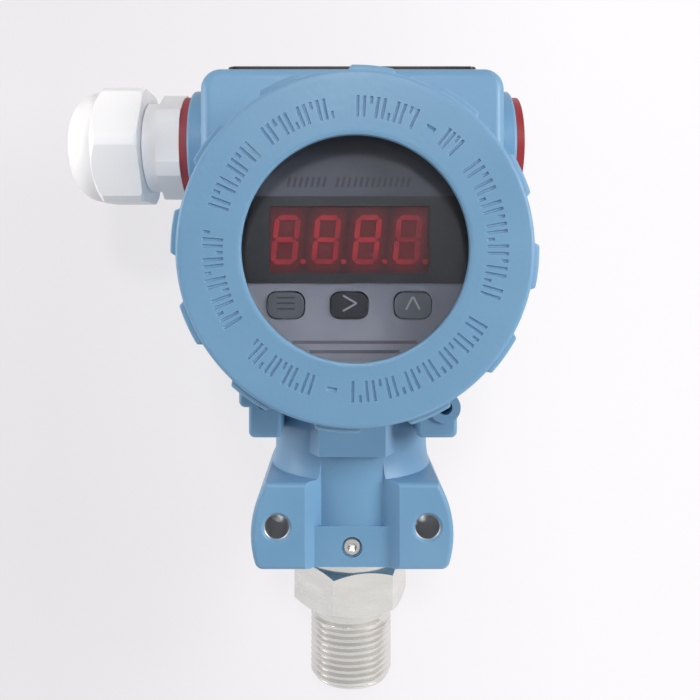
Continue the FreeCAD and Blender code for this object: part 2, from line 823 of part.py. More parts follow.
def front_cover():
    """The screwed front cover with its stepped window bore."""
    y = front_cover_y
    end_y = -head_half_d - cover_gap
    wall_y = y + cover_wall_front
    lip_y = y + window_lip
    ring_y = lip_y + gasket_t + glass_t
    seat_r = glass_d / 2 + seat_clearance
    thread_r = glass_d / 2 + window_ring_w
    edge = cover_face_r
    body = turned_cover([
        (window_d / 2, y),
        (cover_face_d / 2 - edge, y),
        (cover_face_d / 2, y + edge),
        (cover_face_d / 2, y + cover_rib_setback),
        (cover_skirt_d / 2, y + cover_rib_setback + cover_shoulder),
        (cover_skirt_d / 2, end_y),
        (seal_bore_r, end_y),
        (seal_bore_r, seal_floor_y),
        (cover_bore_d / 2, seal_floor_y),
        (cover_bore_d / 2, wall_y),
        (thread_r, wall_y),
        (thread_r, ring_y),
        (seat_r, ring_y),
        (seat_r, lip_y),
        (window_d / 2, lip_y),
    ])
    rib_y = y + cover_rib_setback
    return body.fuse(cover_ribs(rib_y, rib_y + cover_rib_len)).removeSplitter()


def rear_cover():
    """The plain screwed rear cover."""
    y = rear_cover_y
    end_y = head_half_d + cover_gap
    wall_y = y - cover_wall_rear
    edge = cover_face_r
    body = turned_cover([
        (0, y),
        (cover_face_d / 2 - edge, y),
        (cover_face_d / 2, y - edge),
        (cover_face_d / 2, y - cover_rib_setback),
        (cover_skirt_d / 2, y - cover_rib_setback - cover_shoulder),
        (cover_skirt_d / 2, end_y),
        (seal_bore_r, end_y),
        (seal_bore_r, -seal_floor_y),
        (cover_bore_d / 2, -seal_floor_y),
        (cover_bore_d / 2, wall_y),
        (0, wall_y),
    ])
    rib_y = y - cover_rib_setback
    return body.fuse(cover_ribs(rib_y - rear_rib_len, rib_y)).removeSplitter()


def cover_seals():
    """One round seal at the root of each spigot."""
    middle = seal_floor_y + seal_gap + seal_cord_d / 2
    ring_r = spigot_d / 2 + seal_gap + seal_cord_d / 2
    for name, y in (("front_cover_seal", middle), ("rear_cover_seal", -middle)):
        centre = Vector(0, y, axis_z)
        parts[name] = Part.makeTorus(ring_r, seal_cord_d / 2, centre, Vector(0, 1, 0))


def window():
    """Gasket, glass and threaded ring, pressed forward against the cover's lip."""
    y = front_cover_y + window_lip
    gasket = cylinder_y(glass_d, y, y + gasket_t, 0, axis_z)
    parts["window_gasket"] = gasket.cut(cylinder_y(window_d, y, y + gasket_t, 0, axis_z))
    y += gasket_t
    glass = cylinder_y(glass_d, y, y + glass_t, 0, axis_z)
    parts["window_glass"] = glass.makeChamfer(glass_edge, edges_in_plane(glass, 1, y))
    y += glass_t
    ring_d = glass_d + 2 * window_ring_w - 2 * thread_clearance
    ring = cylinder_y(ring_d, y, y + window_ring_t, 0, axis_z)
    opening = cylinder_y(glass_d - 2 * window_ring_w, y, y + window_ring_t, 0, axis_z)
    slots = []
    for side in (-1, 1):
        x = side * (glass_d / 2 + window_ring_w / 2)
        slots.append(box(x - window_slot_w, x + window_slot_w, y + window_ring_t / 2, y + window_ring_t,
                         axis_z - window_slot_w / 2, axis_z + window_slot_w / 2))
    parts["window_ring"] = ring.cut([opening] + slots)


# ---------------------------------------------------------------- display


def rounded_block(w, h, corner_r, x, z, y0, y1):
    """A block along Y with rounded upright corners, seen from the front."""
    block = box(x - w / 2, x + w / 2, y0, y1, z - h / 2, z + h / 2)
    long_edges = [e for e in block.Edges if abs(e.Vertexes[0].Y - e.Vertexes[1].Y) > (y1 - y0) / 2]
    return block.makeFillet(corner_r, long_edges)


def key_places():
    """The three keys' names and their (x, z) centres."""
    z = axis_z - key_drop
    return [
        ("left_key", display_x - key_pitch, z),
        ("middle_key", display_x, z),
        ("right_key", display_x + key_pitch, z),
    ]


def display_panel():
    """Cup, face plate, dark band and keys with their switches."""
    back_y = face_y + face_t
    board_y = display_board_front_y
    key_top_y = face_y - key_proud
    switch_top_y = board_y - switch_t
    mask_z = axis_z + mask_rise
    inner_d = face_d - 2 * cup_wall
    cup = cylinder_y(face_d, back_y, back_y + cup_len, 0, axis_z)
    parts["display_cup"] = cup.cut(cylinder_y(inner_d, back_y, back_y + cup_len, 0, axis_z))

    led_slot = box(display_x - led_w / 2 - seat_clearance, display_x + led_w / 2 + seat_clearance,
                   face_y, back_y, mask_z - led_h / 2 - seat_clearance, mask_z + led_h / 2 + seat_clearance)
    openings = [led_slot]
    for name, x, z in key_places():
        wide = key_w + 2 * key_clearance
        high = key_h + 2 * key_clearance
        openings.append(rounded_block(wide, high, key_corner_r, x, z, face_y, back_y))
        key_foot_y = switch_top_y - key_travel - key_rest_gap
        cap = rounded_block(key_w, key_h, key_corner_r, x, z, key_top_y, key_foot_y)
        flange_y = back_y + key_rest_gap
        flange = box(x - key_w / 2 + key_corner_r, x + key_w / 2 - key_corner_r,
                     flange_y, flange_y + key_flange_t, z, z + key_h / 2 + key_flange_h)
        parts[name] = cap.fuse(flange).removeSplitter()
    face = cylinder_y(face_d, face_y, back_y, 0, axis_z)
    parts["display_face"] = face.cut(openings)

    band = cylinder_y(face_d - 0.6, face_y - mask_t, face_y, 0, axis_z)
    reach = face_d
    band = band.common(box(-reach, reach, face_y - mask_t, face_y, mask_z - mask_h / 2, mask_z + mask_h / 2))
    window_cut = box(display_x - led_w / 2, display_x + led_w / 2, face_y - mask_t, face_y,
                     mask_z - led_h / 2, mask_z + led_h / 2)
    parts["display_band"] = band.cut(window_cut)

    switches = []
    for name, x, z in key_places():
        body_y = switch_top_y + switch_stem_h
        body = box(x - switch_w / 2, x + switch_w / 2, body_y, board_y, z - switch_h / 2, z + switch_h / 2)
        stem = cylinder_y(switch_stem_d, switch_top_y, body_y, x, z)
        switches.append(body.fuse(stem).removeSplitter())
    parts["key_switches"] = Part.makeCompound(switches)


def led_module():
    """The LED block and the lit segments that stand on its face."""
    z = axis_z + mask_rise
    front_y = face_y - led_proud
    body = box(display_x - led_w / 2, display_x + led_w / 2, front_y, display_board_front_y,
               z - led_h / 2, z + led_h / 2)
    parts["led_module"] = body

    segments = []
    for k in range(digit_count):
        x = display_x + (k - (digit_count - 1) / 2) * digit_pitch + digit_shift
        for bar in digit_bars():
            corners = [Vector(x + px, front_y - segment_t, z + pz) for px, pz in bar]
            face = Part.Face(Part.makePolygon(corners + corners[:1]))
            segments.append(face.extrude(Vector(0, segment_t, 0)))
        dot_x = x + digit_w / 2 + dot_gap + dot_d / 2
        segments.append(cylinder_y(dot_d, front_y - segment_t, front_y, dot_x, z - digit_h / 2 + dot_d / 2))
    parts["led_digits"] = Part.makeCompound(segments)


def digit_bars():
    """Outlines of the seven bars of one digit, as (x, z) points about its centre, leaning right."""
    half_w = digit_w / 2 - segment_w / 2
    half_h = digit_h / 2 - segment_w / 2
    tip = segment_w / 2
    lean = math.tan(math.radians(digit_slant_deg))
    bars = []
    for z in (-half_h, 0.0, half_h):
        a = half_w - segment_gap / 2
        upper = [(-a, z), (-a + tip, z + tip), (a - tip, z + tip)]
        lower = [(a, z), (a - tip, z - tip), (-a + tip, z - tip)]
        outline = upper + lower
        bars.append([(px + lean * pz, pz) for px, pz in outline])
    for x in (-half_w, half_w):
        for low in (-half_h, 0.0):
            a = low + segment_gap / 2
            b = low + half_h - segment_gap / 2
            right = [(x, a), (x + tip, a + tip), (x + tip, b - tip)]
            left = [(x, b), (x - tip, b - tip), (x - tip, a + tip)]
            outline = right + left
            bars.append([(px + lean * pz, pz) for px, pz in outline])
    return bars


def boards():
    """Display board, main board, their screws and the standoffs between them."""
    inner_d = face_d - 2 * cup_wall - 2 * thread_clearance
    hole_d = board_screw_d + 2 * seat_clearance
    spots = ring_points(standoff_ring_r, standoff_first_deg)
    posts = ring_points(post_ring_r, post_first_deg)
    top = cylinder_y(inner_d, display_board_front_y, display_board_rear_y, 0, axis_z)
    holes = [cylinder_y(hole_d, display_board_front_y, display_board_rear_y, x, z) for x, z in spots]
    parts["display_board"] = top.cut(holes)
    standoffs = []
    shanks = []
    for x, z in spots:
        standoff = hexagon(standoff_d, main_board_front_y - display_board_rear_y,
                           Vector(x, display_board_rear_y, z), Vector(0, 1, 0), Vector(1, 0, 0))
        bore = cylinder_y(hole_d, display_board_rear_y, display_board_rear_y + board_screw_len, x, z)
        standoffs.append(standoff.cut(bore))
        shanks.append(screw_y(x, z, display_board_front_y, board_screw_d, board_t + board_screw_len - 1,
                              board_screw_head_d, board_screw_head_h))
    parts["display_standoffs"] = Part.makeCompound(standoffs)
    parts["display_screws"] = Part.makeCompound(shanks)

    main = cylinder_y(main_board_d, main_board_front_y, main_board_rear_y, 0, axis_z)
    holes = [cylinder_y(hole_d, main_board_front_y, main_board_rear_y, x, z) for x, z in posts]
    pin_z = axis_z - feedthrough_drop
    pin_hole_d = feedthrough_d + 2 * seat_clearance
    for x in feedthrough_xs():
        holes.append(cylinder_y(pin_hole_d, main_board_front_y, main_board_rear_y, x, pin_z))
    parts["main_board"] = main.cut(holes)
    screws = []
    for x, z in posts:
        screws.append(screw_y(x, z, main_board_front_y, board_screw_d, board_t + board_screw_len - 1,
                              board_screw_head_d, board_screw_head_h))
    parts["board_screws"] = Part.makeCompound(screws)
    cans = []
    for x in (-can_pitch / 2, can_pitch / 2):
        cans.append(cylinder_y(can_d, main_board_front_y - can_len, main_board_front_y, x, axis_z + can_rise))
    parts["board_capacitors"] = Part.makeCompound(cans)
    chip_z = axis_z - processor_drop
    parts["board_processor"] = box(-processor_w / 2, processor_w / 2, main_board_front_y - processor_t,
                                   main_board_front_y, chip_z - processor_h / 2, chip_z + processor_h / 2)


# ---------------------------------------------------------------- terminal compartment


def terminals():
    """Terminal block on the partition, its screws, the feedthrough pins and the earth screw."""
    z = axis_z - terminal_drop
    y0 = partition_rear_y
    y1 = y0 + terminal_t
    block = box(-terminal_w / 2, terminal_w / 2, y0, y1, z - terminal_h / 2, z + terminal_h / 2)
    screw_z = z + terminal_screw_rise
    seat_y = y1 - terminal_head_h - terminal_recess
    slot_y = seat_y + terminal_head_h - terminal_slot_depth
    screws = []
    cuts = []
    for k in range(terminal_count):
        x = (k - (terminal_count - 1) / 2) * terminal_pitch
        cuts.append(cylinder_y(terminal_head_d + 2 * key_clearance, seat_y, y1, x, screw_z))
        shank_end_y = seat_y - terminal_screw_len - seat_clearance
        cuts.append(cylinder_y(terminal_screw_d + 2 * seat_clearance, shank_end_y, seat_y, x, screw_z))
        cuts.append(box(x - wire_mouth_w / 2, x + wire_mouth_w / 2,
                        y0 + wire_mouth_inset, y1 - wire_mouth_inset,
                        z - terminal_h / 2, z - terminal_h / 2 + wire_mouth_h))
        screw = screw_y(x, screw_z, seat_y, terminal_screw_d, terminal_screw_len,
                        terminal_head_d, terminal_head_h, -1)
        slot = box(x - terminal_head_d, x + terminal_head_d, slot_y, y1,
                   screw_z - terminal_slot_w / 2, screw_z + terminal_slot_w / 2)
        screws.append(screw.cut(slot))
    pin_z = axis_z - feedthrough_drop
    pin_end_y = y0 + feedthrough_seat
    pins = []
    for x in feedthrough_xs():
        cuts.append(cylinder_y(feedthrough_d + 2 * seat_clearance, y0, pin_end_y, x, pin_z))
        pins.append(cylinder_y(feedthrough_d, main_board_front_y - feedthrough_tail, pin_end_y, x, pin_z))
    parts["terminal_block"] = block.cut(cuts)
    parts["terminal_screws"] = Part.makeCompound(screws)
    parts["feedthrough_pins"] = Part.makeCompound(pins)
    parts["inner_earth_screw"] = screw_y(inner_earth_x, axis_z - inner_earth_drop, partition_rear_y,
                                         terminal_screw_d, partition_t, inner_earth_head_d,
                                         inner_earth_head_h, -1)


# ---------------------------------------------------------------- cable entries


def entry_plug():
    """The red flanged plug that closes the right entry."""
    x = boss_x
    stem = cylinder_x(entry_d - 2 * seat_clearance, x - plug_len, x, 0, entry_z)
    flange = cylinder_x(washer_d, x, x + washer_t, 0, entry_z)
    plug = stem.fuse(flange).removeSplitter()
    floor = Vector(x + washer_t - plug_socket_depth, 0, entry_z)
    socket = hexagon(plug_socket_af, plug_socket_depth, floor, Vector(1, 0, 0), Vector(0, 0, 1))
    parts["blanking_plug"] = plug.cut(socket)


def gland():
    """Washer, body, claw, seal and dome nut of the cable gland, outwards from the left boss."""
    face = -boss_x
    hex_in = face - washer_t
    hex_out = hex_in - gland_hex_len
    collar_out = hex_out - gland_collar_len
    top_out = collar_out - gland_top_len
    washer = cylinder_x(washer_d, hex_in, face, 0, entry_z)
    parts["gland_washer"] = washer.cut(cylinder_x(entry_d, hex_in, face, 0, entry_z))

    out = Vector(-1, 0, 0)
    stem = cylinder_x(entry_d - 2 * seat_clearance, hex_in, face + gland_stem_len, 0, entry_z)
    nut_face = hexagon(gland_hex_af, gland_hex_len, Vector(hex_in, 0, entry_z), out, Vector(0, 0, 1))
    trim_d = gland_hex_af + 2 * gland_corner_cut
    nut_face = nut_face.common(cylinder_x(trim_d, hex_out, hex_in, 0, entry_z))
    collar = cylinder_x(gland_collar_d, collar_out, hex_out, 0, entry_z)
    top = cylinder_x(gland_top_d, top_out, collar_out, 0, entry_z)
    body = stem.fuse([nut_face, collar, top]).removeSplitter()
    parts["gland_body"] = body.cut(cylinder_x(gland_bore_d, top_out, face + gland_stem_len, 0, entry_z))
    gland_nut(collar_out - nut_gap, top_out)
    gland_grip(collar_out - nut_gap - nut_len + nut_face_wall, top_out)


def gland_nut(nut_in, top_out):
    """The domed nut: six flats, a rounded crown and a tapered bore."""
    nut_out = nut_in - nut_len
    bore_r = gland_top_d / 2 + thread_clearance
    mouth_r = nut_mouth_d / 2
    corner_r = nut_af / 2 + nut_corner_proud
    dome_r = nut_af / 2 - nut_dome_inset
    crown = nut_crown_r
    dome_x = nut_out + crown
    bend = crown * (1 - math.sqrt(0.5))
    at = lambda radius, x: Vector(x, 0, entry_z + radius)
    edges = [
        Part.LineSegment(at(0, nut_in), at(corner_r - nut_edge, nut_in)),
        Part.LineSegment(at(corner_r - nut_edge, nut_in), at(corner_r, nut_in - nut_edge)),
        Part.LineSegment(at(corner_r, nut_in - nut_edge), at(corner_r, dome_x + nut_shoulder)),
        Part.LineSegment(at(corner_r, dome_x + nut_shoulder), at(dome_r, dome_x)),
        Part.Arc(at(dome_r, dome_x), at(dome_r - bend, nut_out + bend), at(dome_r - crown, nut_out)),
        Part.LineSegment(at(dome_r - crown, nut_out), at(0, nut_out)),
        Part.LineSegment(at(0, nut_out), at(0, nut_in)),
    ]
    section = Part.Face(Part.Wire([edge.toShape() for edge in edges]))
    turned_nut = section.revolve(Vector(0, 0, entry_z), Vector(1, 0, 0), 360)
    start = Vector(nut_in, 0, entry_z)
    outer = turned_nut.common(hexagon(nut_af, nut_len, start, Vector(-1, 0, 0), Vector(0, -1, 0)))
    inner = turned_entry([
        (0, nut_in),
        (bore_r, nut_in),
        (bore_r, top_out - nut_gap),
        (mouth_r, nut_out + nut_face_wall),
        (mouth_r, nut_out),
        (0, nut_out),
    ])
    parts["gland_nut"] = outer.cut(inner)


def gland_grip(mouth_x, top_out):
    """The slotted claw inside the dome nut and the rubber seal inside the claw."""
    claw_end = mouth_x + nut_gap
    claw_r = gland_bore_d / 2 - claw_gap
    seal_r = claw_r - claw_wall
    hole_r = seal_r + seat_clearance
    lip_r = cable_d / 2 + claw_lip
    claw = turned_entry([
        (hole_r, top_out + claw_grip_len),
        (claw_r, top_out + claw_grip_len),
        (claw_r, top_out - claw_free_len),
        (claw_r - claw_taper, claw_end),
        (lip_r, claw_end),
        (lip_r, claw_end + claw_wall),
        (hole_r, claw_end + 2 * claw_wall),
    ])
    slots = []
    for k in range(claw_slot_count):
        slot = box(claw_end, top_out, -claw_slot_w / 2, claw_slot_w / 2, 0, nut_af)
        slot.rotate(Vector(0, 0, 0), Vector(1, 0, 0), 360 / claw_slot_count * (k + 0.5))
        slot.translate(Vector(0, 0, entry_z))
        slots.append(slot)
    parts["gland_claw"] = claw.cut(slots)
    seal_out = claw_end + 2 * claw_wall + claw_gap
    seal = cylinder_x(2 * seal_r, seal_out, seal_out + gland_seal_len, 0, entry_z)
    parts["gland_seal"] = seal.cut(cylinder_x(cable_d, seal_out, seal_out + gland_seal_len, 0, entry_z))


parts["process_connection"] = process_connection()
stem_pieces()
parts["housing"] = housing()
head_screws()
nameplate()
parts["front_cover"] = front_cover()
parts["rear_cover"] = rear_cover()
cover_seals()
window()
display_panel()
led_module()
boards()
terminals()
entry_plug()
gland()

os.makedirs("parts", exist_ok=True)
for node, shape in parts.items():
    shape.exportStep(f"parts/{node}.step")
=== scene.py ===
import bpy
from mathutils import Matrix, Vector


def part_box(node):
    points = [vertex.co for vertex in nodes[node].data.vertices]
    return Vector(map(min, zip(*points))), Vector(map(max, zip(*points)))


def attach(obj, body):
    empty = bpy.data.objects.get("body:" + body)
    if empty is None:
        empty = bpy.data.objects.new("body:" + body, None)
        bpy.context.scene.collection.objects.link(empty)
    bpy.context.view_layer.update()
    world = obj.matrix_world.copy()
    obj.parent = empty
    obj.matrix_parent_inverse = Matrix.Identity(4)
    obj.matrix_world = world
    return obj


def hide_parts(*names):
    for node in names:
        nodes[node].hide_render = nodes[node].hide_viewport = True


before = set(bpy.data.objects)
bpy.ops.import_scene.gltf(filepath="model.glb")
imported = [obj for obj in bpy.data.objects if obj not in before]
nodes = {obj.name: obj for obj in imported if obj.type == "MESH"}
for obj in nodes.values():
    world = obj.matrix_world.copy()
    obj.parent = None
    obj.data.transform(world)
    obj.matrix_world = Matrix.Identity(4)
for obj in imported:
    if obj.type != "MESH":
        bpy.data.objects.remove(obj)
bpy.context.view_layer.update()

import math
import bmesh
import bpy
import numpy as np
from mathutils import Vector

scene = bpy.context.scene

# ---------------------------------------------------------------- bench, camera and light
# The transmitter lies with its rear cover on a pale matt board, with a pale floor below its
# thread. A soft lamp stands at the right and one in front, weaker ones at the left, below and
# beside the gland, with faint light from all round.

MM = 0.001
own_white = 0.80
soft_level = 0.24


def colour(red, green, blue):
    """A screen colour from 0 to 255 as the shader's linear colour: below 4% by division, above by a power."""
    share = np.array((red, green, blue)) / 255
    return (*np.where(share < 0.04045, share / 12.92, ((share + 0.055) / 1.055) ** 2.4), 1.0)


def add(tree, kind, inputs=None, **settings):
    """Adds a shader node, sets or links its inputs, and gives its outputs."""
    made = tree.nodes.new("ShaderNode" + kind)
    for setting, value in settings.items():
        setattr(made, setting, value)
    for socket, value in (inputs or {}).items():
        if isinstance(value, bpy.types.NodeSocket):
            tree.links.new(value, made.inputs[socket])
        else:
            made.inputs[socket].default_value = value
    return made.outputs


def finish(name, **plain):
    """A new material and its node tree, with these plain values on its one Principled shader."""
    material = bpy.data.materials.new(name)
    material.use_nodes = True
    shader = material.node_tree.nodes["Principled BSDF"]
    for socket, value in plain.items():
        shader.inputs[socket.replace("_", " ").title().replace("Ior", "IOR")].default_value = value
    return material, material.node_tree


def link(tree, **sources):
    """Links outputs to the Principled shader: base_color=... feeds Base Color."""
    shader = tree.nodes["Principled BSDF"]
    for socket, source in sources.items():
        tree.links.new(source, shader.inputs[socket.replace("_", " ").title()])


def seen_directly(tree):
    """One where a camera, mirror or glass ray meets the surface, and nought for soft light."""
    path = add(tree, "LightPath")
    shiny = add(tree, "Math", {0: path["Is Camera Ray"], 1: path["Is Glossy Ray"]}, operation="MAXIMUM")[0]
    return add(tree, "Math", {0: shiny, 1: path["Is Transmission Ray"]}, operation="MAXIMUM")[0]


def stage_plate(name, corners, dark, light, rough):
    """A flat pale plate through four corners, with slow mottling and a painted light fall, paler towards +x as if
    lit from the right, that only direct rays meet, and from its front.
    Most of what they see is the plate's own white, so that shadows on it stay faint."""
    mesh = bpy.data.meshes.new(name)
    mesh.from_pydata([[MM * v for v in corner] for corner in corners], [], [(0, 1, 2, 3)])
    plate = bpy.data.objects.new(name, mesh)
    scene.collection.objects.link(plate)
    material, tree = finish(name, Roughness=rough, Specular_IOR_Level=0.1)
    place = add(tree, "TexCoord")["Object"]
    across = add(tree, "SeparateXYZ", {0: place})[0]
    # Painted light: the colour runs from the dark one at x -90 mm to the light one at x +70 mm, as if lit from the
    # right.
    painted_light_fall = add(tree, "MapRange", {0: across, 1: -0.09, 2: 0.07})[0]
    cloud = add(tree, "TexNoise", {"Vector": place, "Scale": 9.0, "Detail": 3.0})[0]
    mottle = add(tree, "Math", {0: cloud, 1: 0.06, 2: -0.03}, operation="MULTIPLY_ADD")[0]
    share = add(tree, "Math", {0: painted_light_fall, 1: mottle}, operation="ADD")[0]
    tone = add(tree, "MixRGB", {0: share, 1: dark, 2: light})[0]
    grain = add(tree, "TexNoise", {"Vector": place, "Scale": 2500.0, "Detail": 2.0})[0]
    link(tree, base_color=tone, normal=add(tree, "Bump", {"Strength": 0.04, "Height": grain})[0])
    front = add(tree, "Math", {0: 1.0, 1: add(tree, "NewGeometry")["Backfacing"]}, operation="SUBTRACT")[0]
    shown = add(tree, "Math", {0: seen_directly(tree), 1: front}, operation="MULTIPLY")[0]
    clear = add(tree, "BsdfTransparent")[0]
    own = add(tree, "Emission", {0: tone, 1: 1.0})[0]
    faint = add(tree, "MixShader", {0: own_white, 1: tree.nodes["Principled BSDF"].outputs[0], 2: own})[0]
    mixed = add(tree, "MixShader", {0: shown, 1: clear, 2: faint})[0]
    tree.links.new(mixed, tree.nodes["Material Output"].inputs[0])
    mesh.materials.append(material)


board_y = 43.5
floor_z = -36.0
# Both plates run paler towards +x: painted light from the right lamp's side.
stage_plate("board", [(-900, board_y, -600), (900, board_y, -600), (900, board_y, 900), (-900, board_y, 900)],
            colour(236, 234, 237), colour(253, 251, 253), 0.7)
stage_plate("floor", [(-900, -900, floor_z), (900, -900, floor_z), (900, 900, floor_z), (-900, 900, floor_z)],
            colour(240, 240, 242), colour(246, 246, 247), 0.6)

world = bpy.data.worlds.new("studio")
scene.world = world
world.use_nodes = True
sky = world.node_tree
sky.nodes["Background"].inputs[0].default_value = colour(252, 252, 255)
sky.nodes["Background"].inputs[1].default_value = soft_level

# What metal and glass mirror: a white room with a grey front, and a dark patch in that where the
# window looks. Each shade is its aim, the cosines at which it is full and gone, and its grey.
room_shades = (((0.0, -1.0, 0.0), 0.97, 0.66, 132), ((-0.15, -0.985, -0.08), 0.985, 0.935, 56))
bearing = add(sky, "TexCoord")["Generated"]
mirrored = colour(254, 254, 257)
for aim, inner, outer, grey in room_shades:
    tone = colour(grey, grey, grey + 3)
    facing = add(sky, "VectorMath", {0: bearing, 1: aim}, operation="DOT_PRODUCT")["Value"]
    share = add(sky, "MapRange", {0: facing, 1: outer, 2: inner}, interpolation_type="SMOOTHSTEP")[0]
    mirrored = add(sky, "MixRGB", {0: share, 1: mirrored, 2: tone})[0]
path = add(sky, "LightPath")
room = add(sky, "MixRGB", {0: path["Is Glossy Ray"], 1: (1.0, 1.0, 1.0, 1.0), 2: mirrored})[0]
white_wall = add(sky, "Background", {0: room, 1: 1.0})[0]
seen = add(sky, "MixShader", {0: seen_directly(sky), 1: sky.nodes["Background"].outputs[0], 2: white_wall})[0]
sky.links.new(seen, sky.nodes["World Output"].inputs[0])


def soft_lamp(name, azimuth, elevation, distance, size, energy):
    """A square soft lamp aimed at the object's middle, azimuth degrees to the right of the front and raised."""
    aim = Vector((0.0, 0.0, 0.09))
    across, rise = math.radians(azimuth), math.radians(elevation)
    toward = Vector((math.cos(rise) * math.sin(across), -math.cos(rise) * math.cos(across), math.sin(rise)))
    light = bpy.data.lights.new(name, "AREA")
    light.shape = "SQUARE"
    light.size = size
    light.energy = energy
    light.color = (1.0, 0.985, 0.97)
    lamp = bpy.data.objects.new(name, light)
    scene.collection.objects.link(lamp)
    lamp.location = aim + distance * toward
    lamp.rotation_mode = "QUATERNION"
    lamp.rotation_quaternion = (-toward).to_track_quat("-Z", "Y")


soft_lamp("right_lamp", 58.0, 13.0, 0.80, 0.30, 4.2)
soft_lamp("front_lamp", 0.0, 24.0, 0.80, 0.10, 2.0)
soft_lamp("left_lamp", -92.0, 2.0, 0.80, 0.40, 2.2)
soft_lamp("low_lamp", 55.0, -60.0, 0.70, 0.40, 1.5)
soft_lamp("gland_lamp", -66.0, 16.0, 0.20, 0.08, 0.085)

lens = bpy.data.cameras.new("camera")
lens.lens = 40.83
lens.sensor_width = 36.0
lens.shift_x = 0.0141
lens.shift_y = -0.1357
lens.clip_start = 0.01
camera = bpy.data.objects.new("camera", lens)
scene.collection.objects.link(camera)
camera.location = (-0.00273, -0.200, 0.1044)
camera.rotation_euler = (math.radians(90), 0, 0)
scene.camera = camera
scene.view_settings.view_transform = "Standard"


# ---------------------------------------------------------------- threaded process connection
# One stainless bar, turned, threaded and milled: an M20 thread with its relief, a hexagon for
# the wrench, and the stem that the head turns on. A drilled port leads up to the sensor's seat.

def skin(name, grid, material, body, crease=32.0):
    """A closed skin from a grid of points in millimetres: each row is joined to the next, the last row to the
    first, and each column to the next; columns that meet are merged, and edges sharper than crease stay sharp."""
    rows, columns = grid.shape[:2]
    first = np.arange(rows)[:, None] * columns + np.arange(columns - 1)[None, :]
    above = np.roll(np.arange(rows), -1)[:, None] * columns + np.arange(columns - 1)[None, :]
    faces = np.stack((first, first + 1, above + 1, above), -1).reshape(-1, 4)
    mesh = bpy.data.meshes.new(name)
    mesh.from_pydata((grid.reshape(-1, 3) * MM).tolist(), [], faces.tolist())
    work = bmesh.new()
    work.from_mesh(mesh)
    bmesh.ops.remove_doubles(work, verts=work.verts, dist=2e-7)
    bmesh.ops.dissolve_degenerate(work, dist=1e-7, edges=work.edges)
    bmesh.ops.recalc_face_normals(work, faces=work.faces)
    work.to_mesh(mesh)
    work.free()
    return place(name, mesh, material, body, crease)


def place(name, mesh, material, body, crease=32.0):
    """Puts a finished mesh on the body that carries it, smooth but for its sharp edges."""
    mesh.shade_smooth()
    mesh.set_sharp_from_angle(angle=math.radians(crease))
    mesh.materials.append(material)
    piece = bpy.data.objects.new(name, mesh)
    scene.collection.objects.link(piece)
    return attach(piece, body)


def dress(material, *names):
    """Gives CAD nodes this material."""
    for name in names:
        for held in nodes[name].material_slots:
            held.material = material


def effect(name, inputs, outputs):
    """A node group with these number or vector inputs and value outputs; gives it, its inputs and its outputs."""
    group = bpy.data.node_groups.new(name, "ShaderNodeTree")
    for title, value in inputs.items():
        kind = "NodeSocketVector" if value is None else "NodeSocketFloat"
        socket = group.interface.new_socket(title, in_out="INPUT", socket_type=kind)
        if value is not None:
            socket.default_value = value
    for title in outputs:
        group.interface.new_socket(title, in_out="OUTPUT", socket_type="NodeSocketFloat")
    return group, group.nodes.new("NodeGroupInput").outputs, group.nodes.new("NodeGroupOutput").inputs


def use(tree, group, **inputs):
    """Places an effect in a material with its own values, and gives its outputs."""
    made = tree.nodes.new("ShaderNodeGroup")
    made.node_tree = group
    for title, value in inputs.items():
        if isinstance(value, bpy.types.NodeSocket):
            tree.links.new(value, made.inputs[title.title()])
        else:
            made.inputs[title.title()].default_value = value
    return made.outputs


def make_tool_rings():
    """Marks left by a lathe: noise in radius and height alone, so that it runs round the axis, with a slow
    change along the turn. Height is the groove, Streak the slow change from 0 to 1."""
    group, given, result = effect("tool_rings", {"Place": None, "Fineness": 1500.0}, ("Height", "Streak"))
    axes = add(group, "SeparateXYZ", {0: given["Place"]})
    across = add(group, "CombineXYZ", {0: axes[0], 1: axes[1]})[0]
    radius = add(group, "VectorMath", {0: across}, operation="LENGTH")["Value"]
    rings = add(group, "CombineXYZ", {0: radius, 2: axes[2]})[0]
    fine = add(group, "TexNoise", {"Vector": rings, "Scale": given["Fineness"], "Detail": 3.0})[0]
    slow = add(group, "VectorMath", {0: given["Place"], 1: (60.0, 60.0, 240.0)}, operation="MULTIPLY")[0]
    broad = add(group, "TexNoise", {"Vector": slow, "Scale": 1.0, "Detail": 2.0})[0]
    group.links.new(fine, result["Height"])
    group.links.new(add(group, "MapRange", {0: broad, 1: 0.3, 2: 0.7})[0], result["Streak"])
    return group


def make_worn_edges():
    """Where a surface turns within a radius: one less the cosine between the true normal and the one rounded
    over the radius, raised by a gain and broken up by noise, from 0 on flats to 1 on edges."""
    group, given, result = effect("worn_edges", {"Radius": 0.0005, "Gain": 8.0}, ("Mask",))
    soft = add(group, "Bevel", {"Radius": given["Radius"]}, samples=4)[0]
    true = add(group, "NewGeometry")["Normal"]
    cosine = add(group, "VectorMath", {0: soft, 1: true}, operation="DOT_PRODUCT")["Value"]
    turn = add(group, "Math", {0: 1.0, 1: cosine}, operation="SUBTRACT")[0]
    place_here = add(group, "TexCoord")["Object"]
    patch = add(group, "TexNoise", {"Vector": place_here, "Scale": 420.0, "Detail": 3.0})[0]
    gain = add(group, "Math", {0: given["Gain"], 1: patch}, operation="MULTIPLY")[0]
    raised = add(group, "Math", {0: turn, 1: gain}, operation="MULTIPLY", use_clamp=True)[0]
    group.links.new(raised, result["Mask"])
    return group


tool_rings = make_tool_rings()
worn_edges = make_worn_edges()


def along_y(tree, centre_z):
    """Object coordinates with the covers' axis as their third one."""
    axes = add(tree, "SeparateXYZ", {0: add(tree, "TexCoord")["Object"]})
    up = add(tree, "Math", {0: axes[2], 1: centre_z * MM}, operation="SUBTRACT")[0]
    return add(tree, "CombineXYZ", {0: axes[0], 1: up, 2: axes[1]})[0]


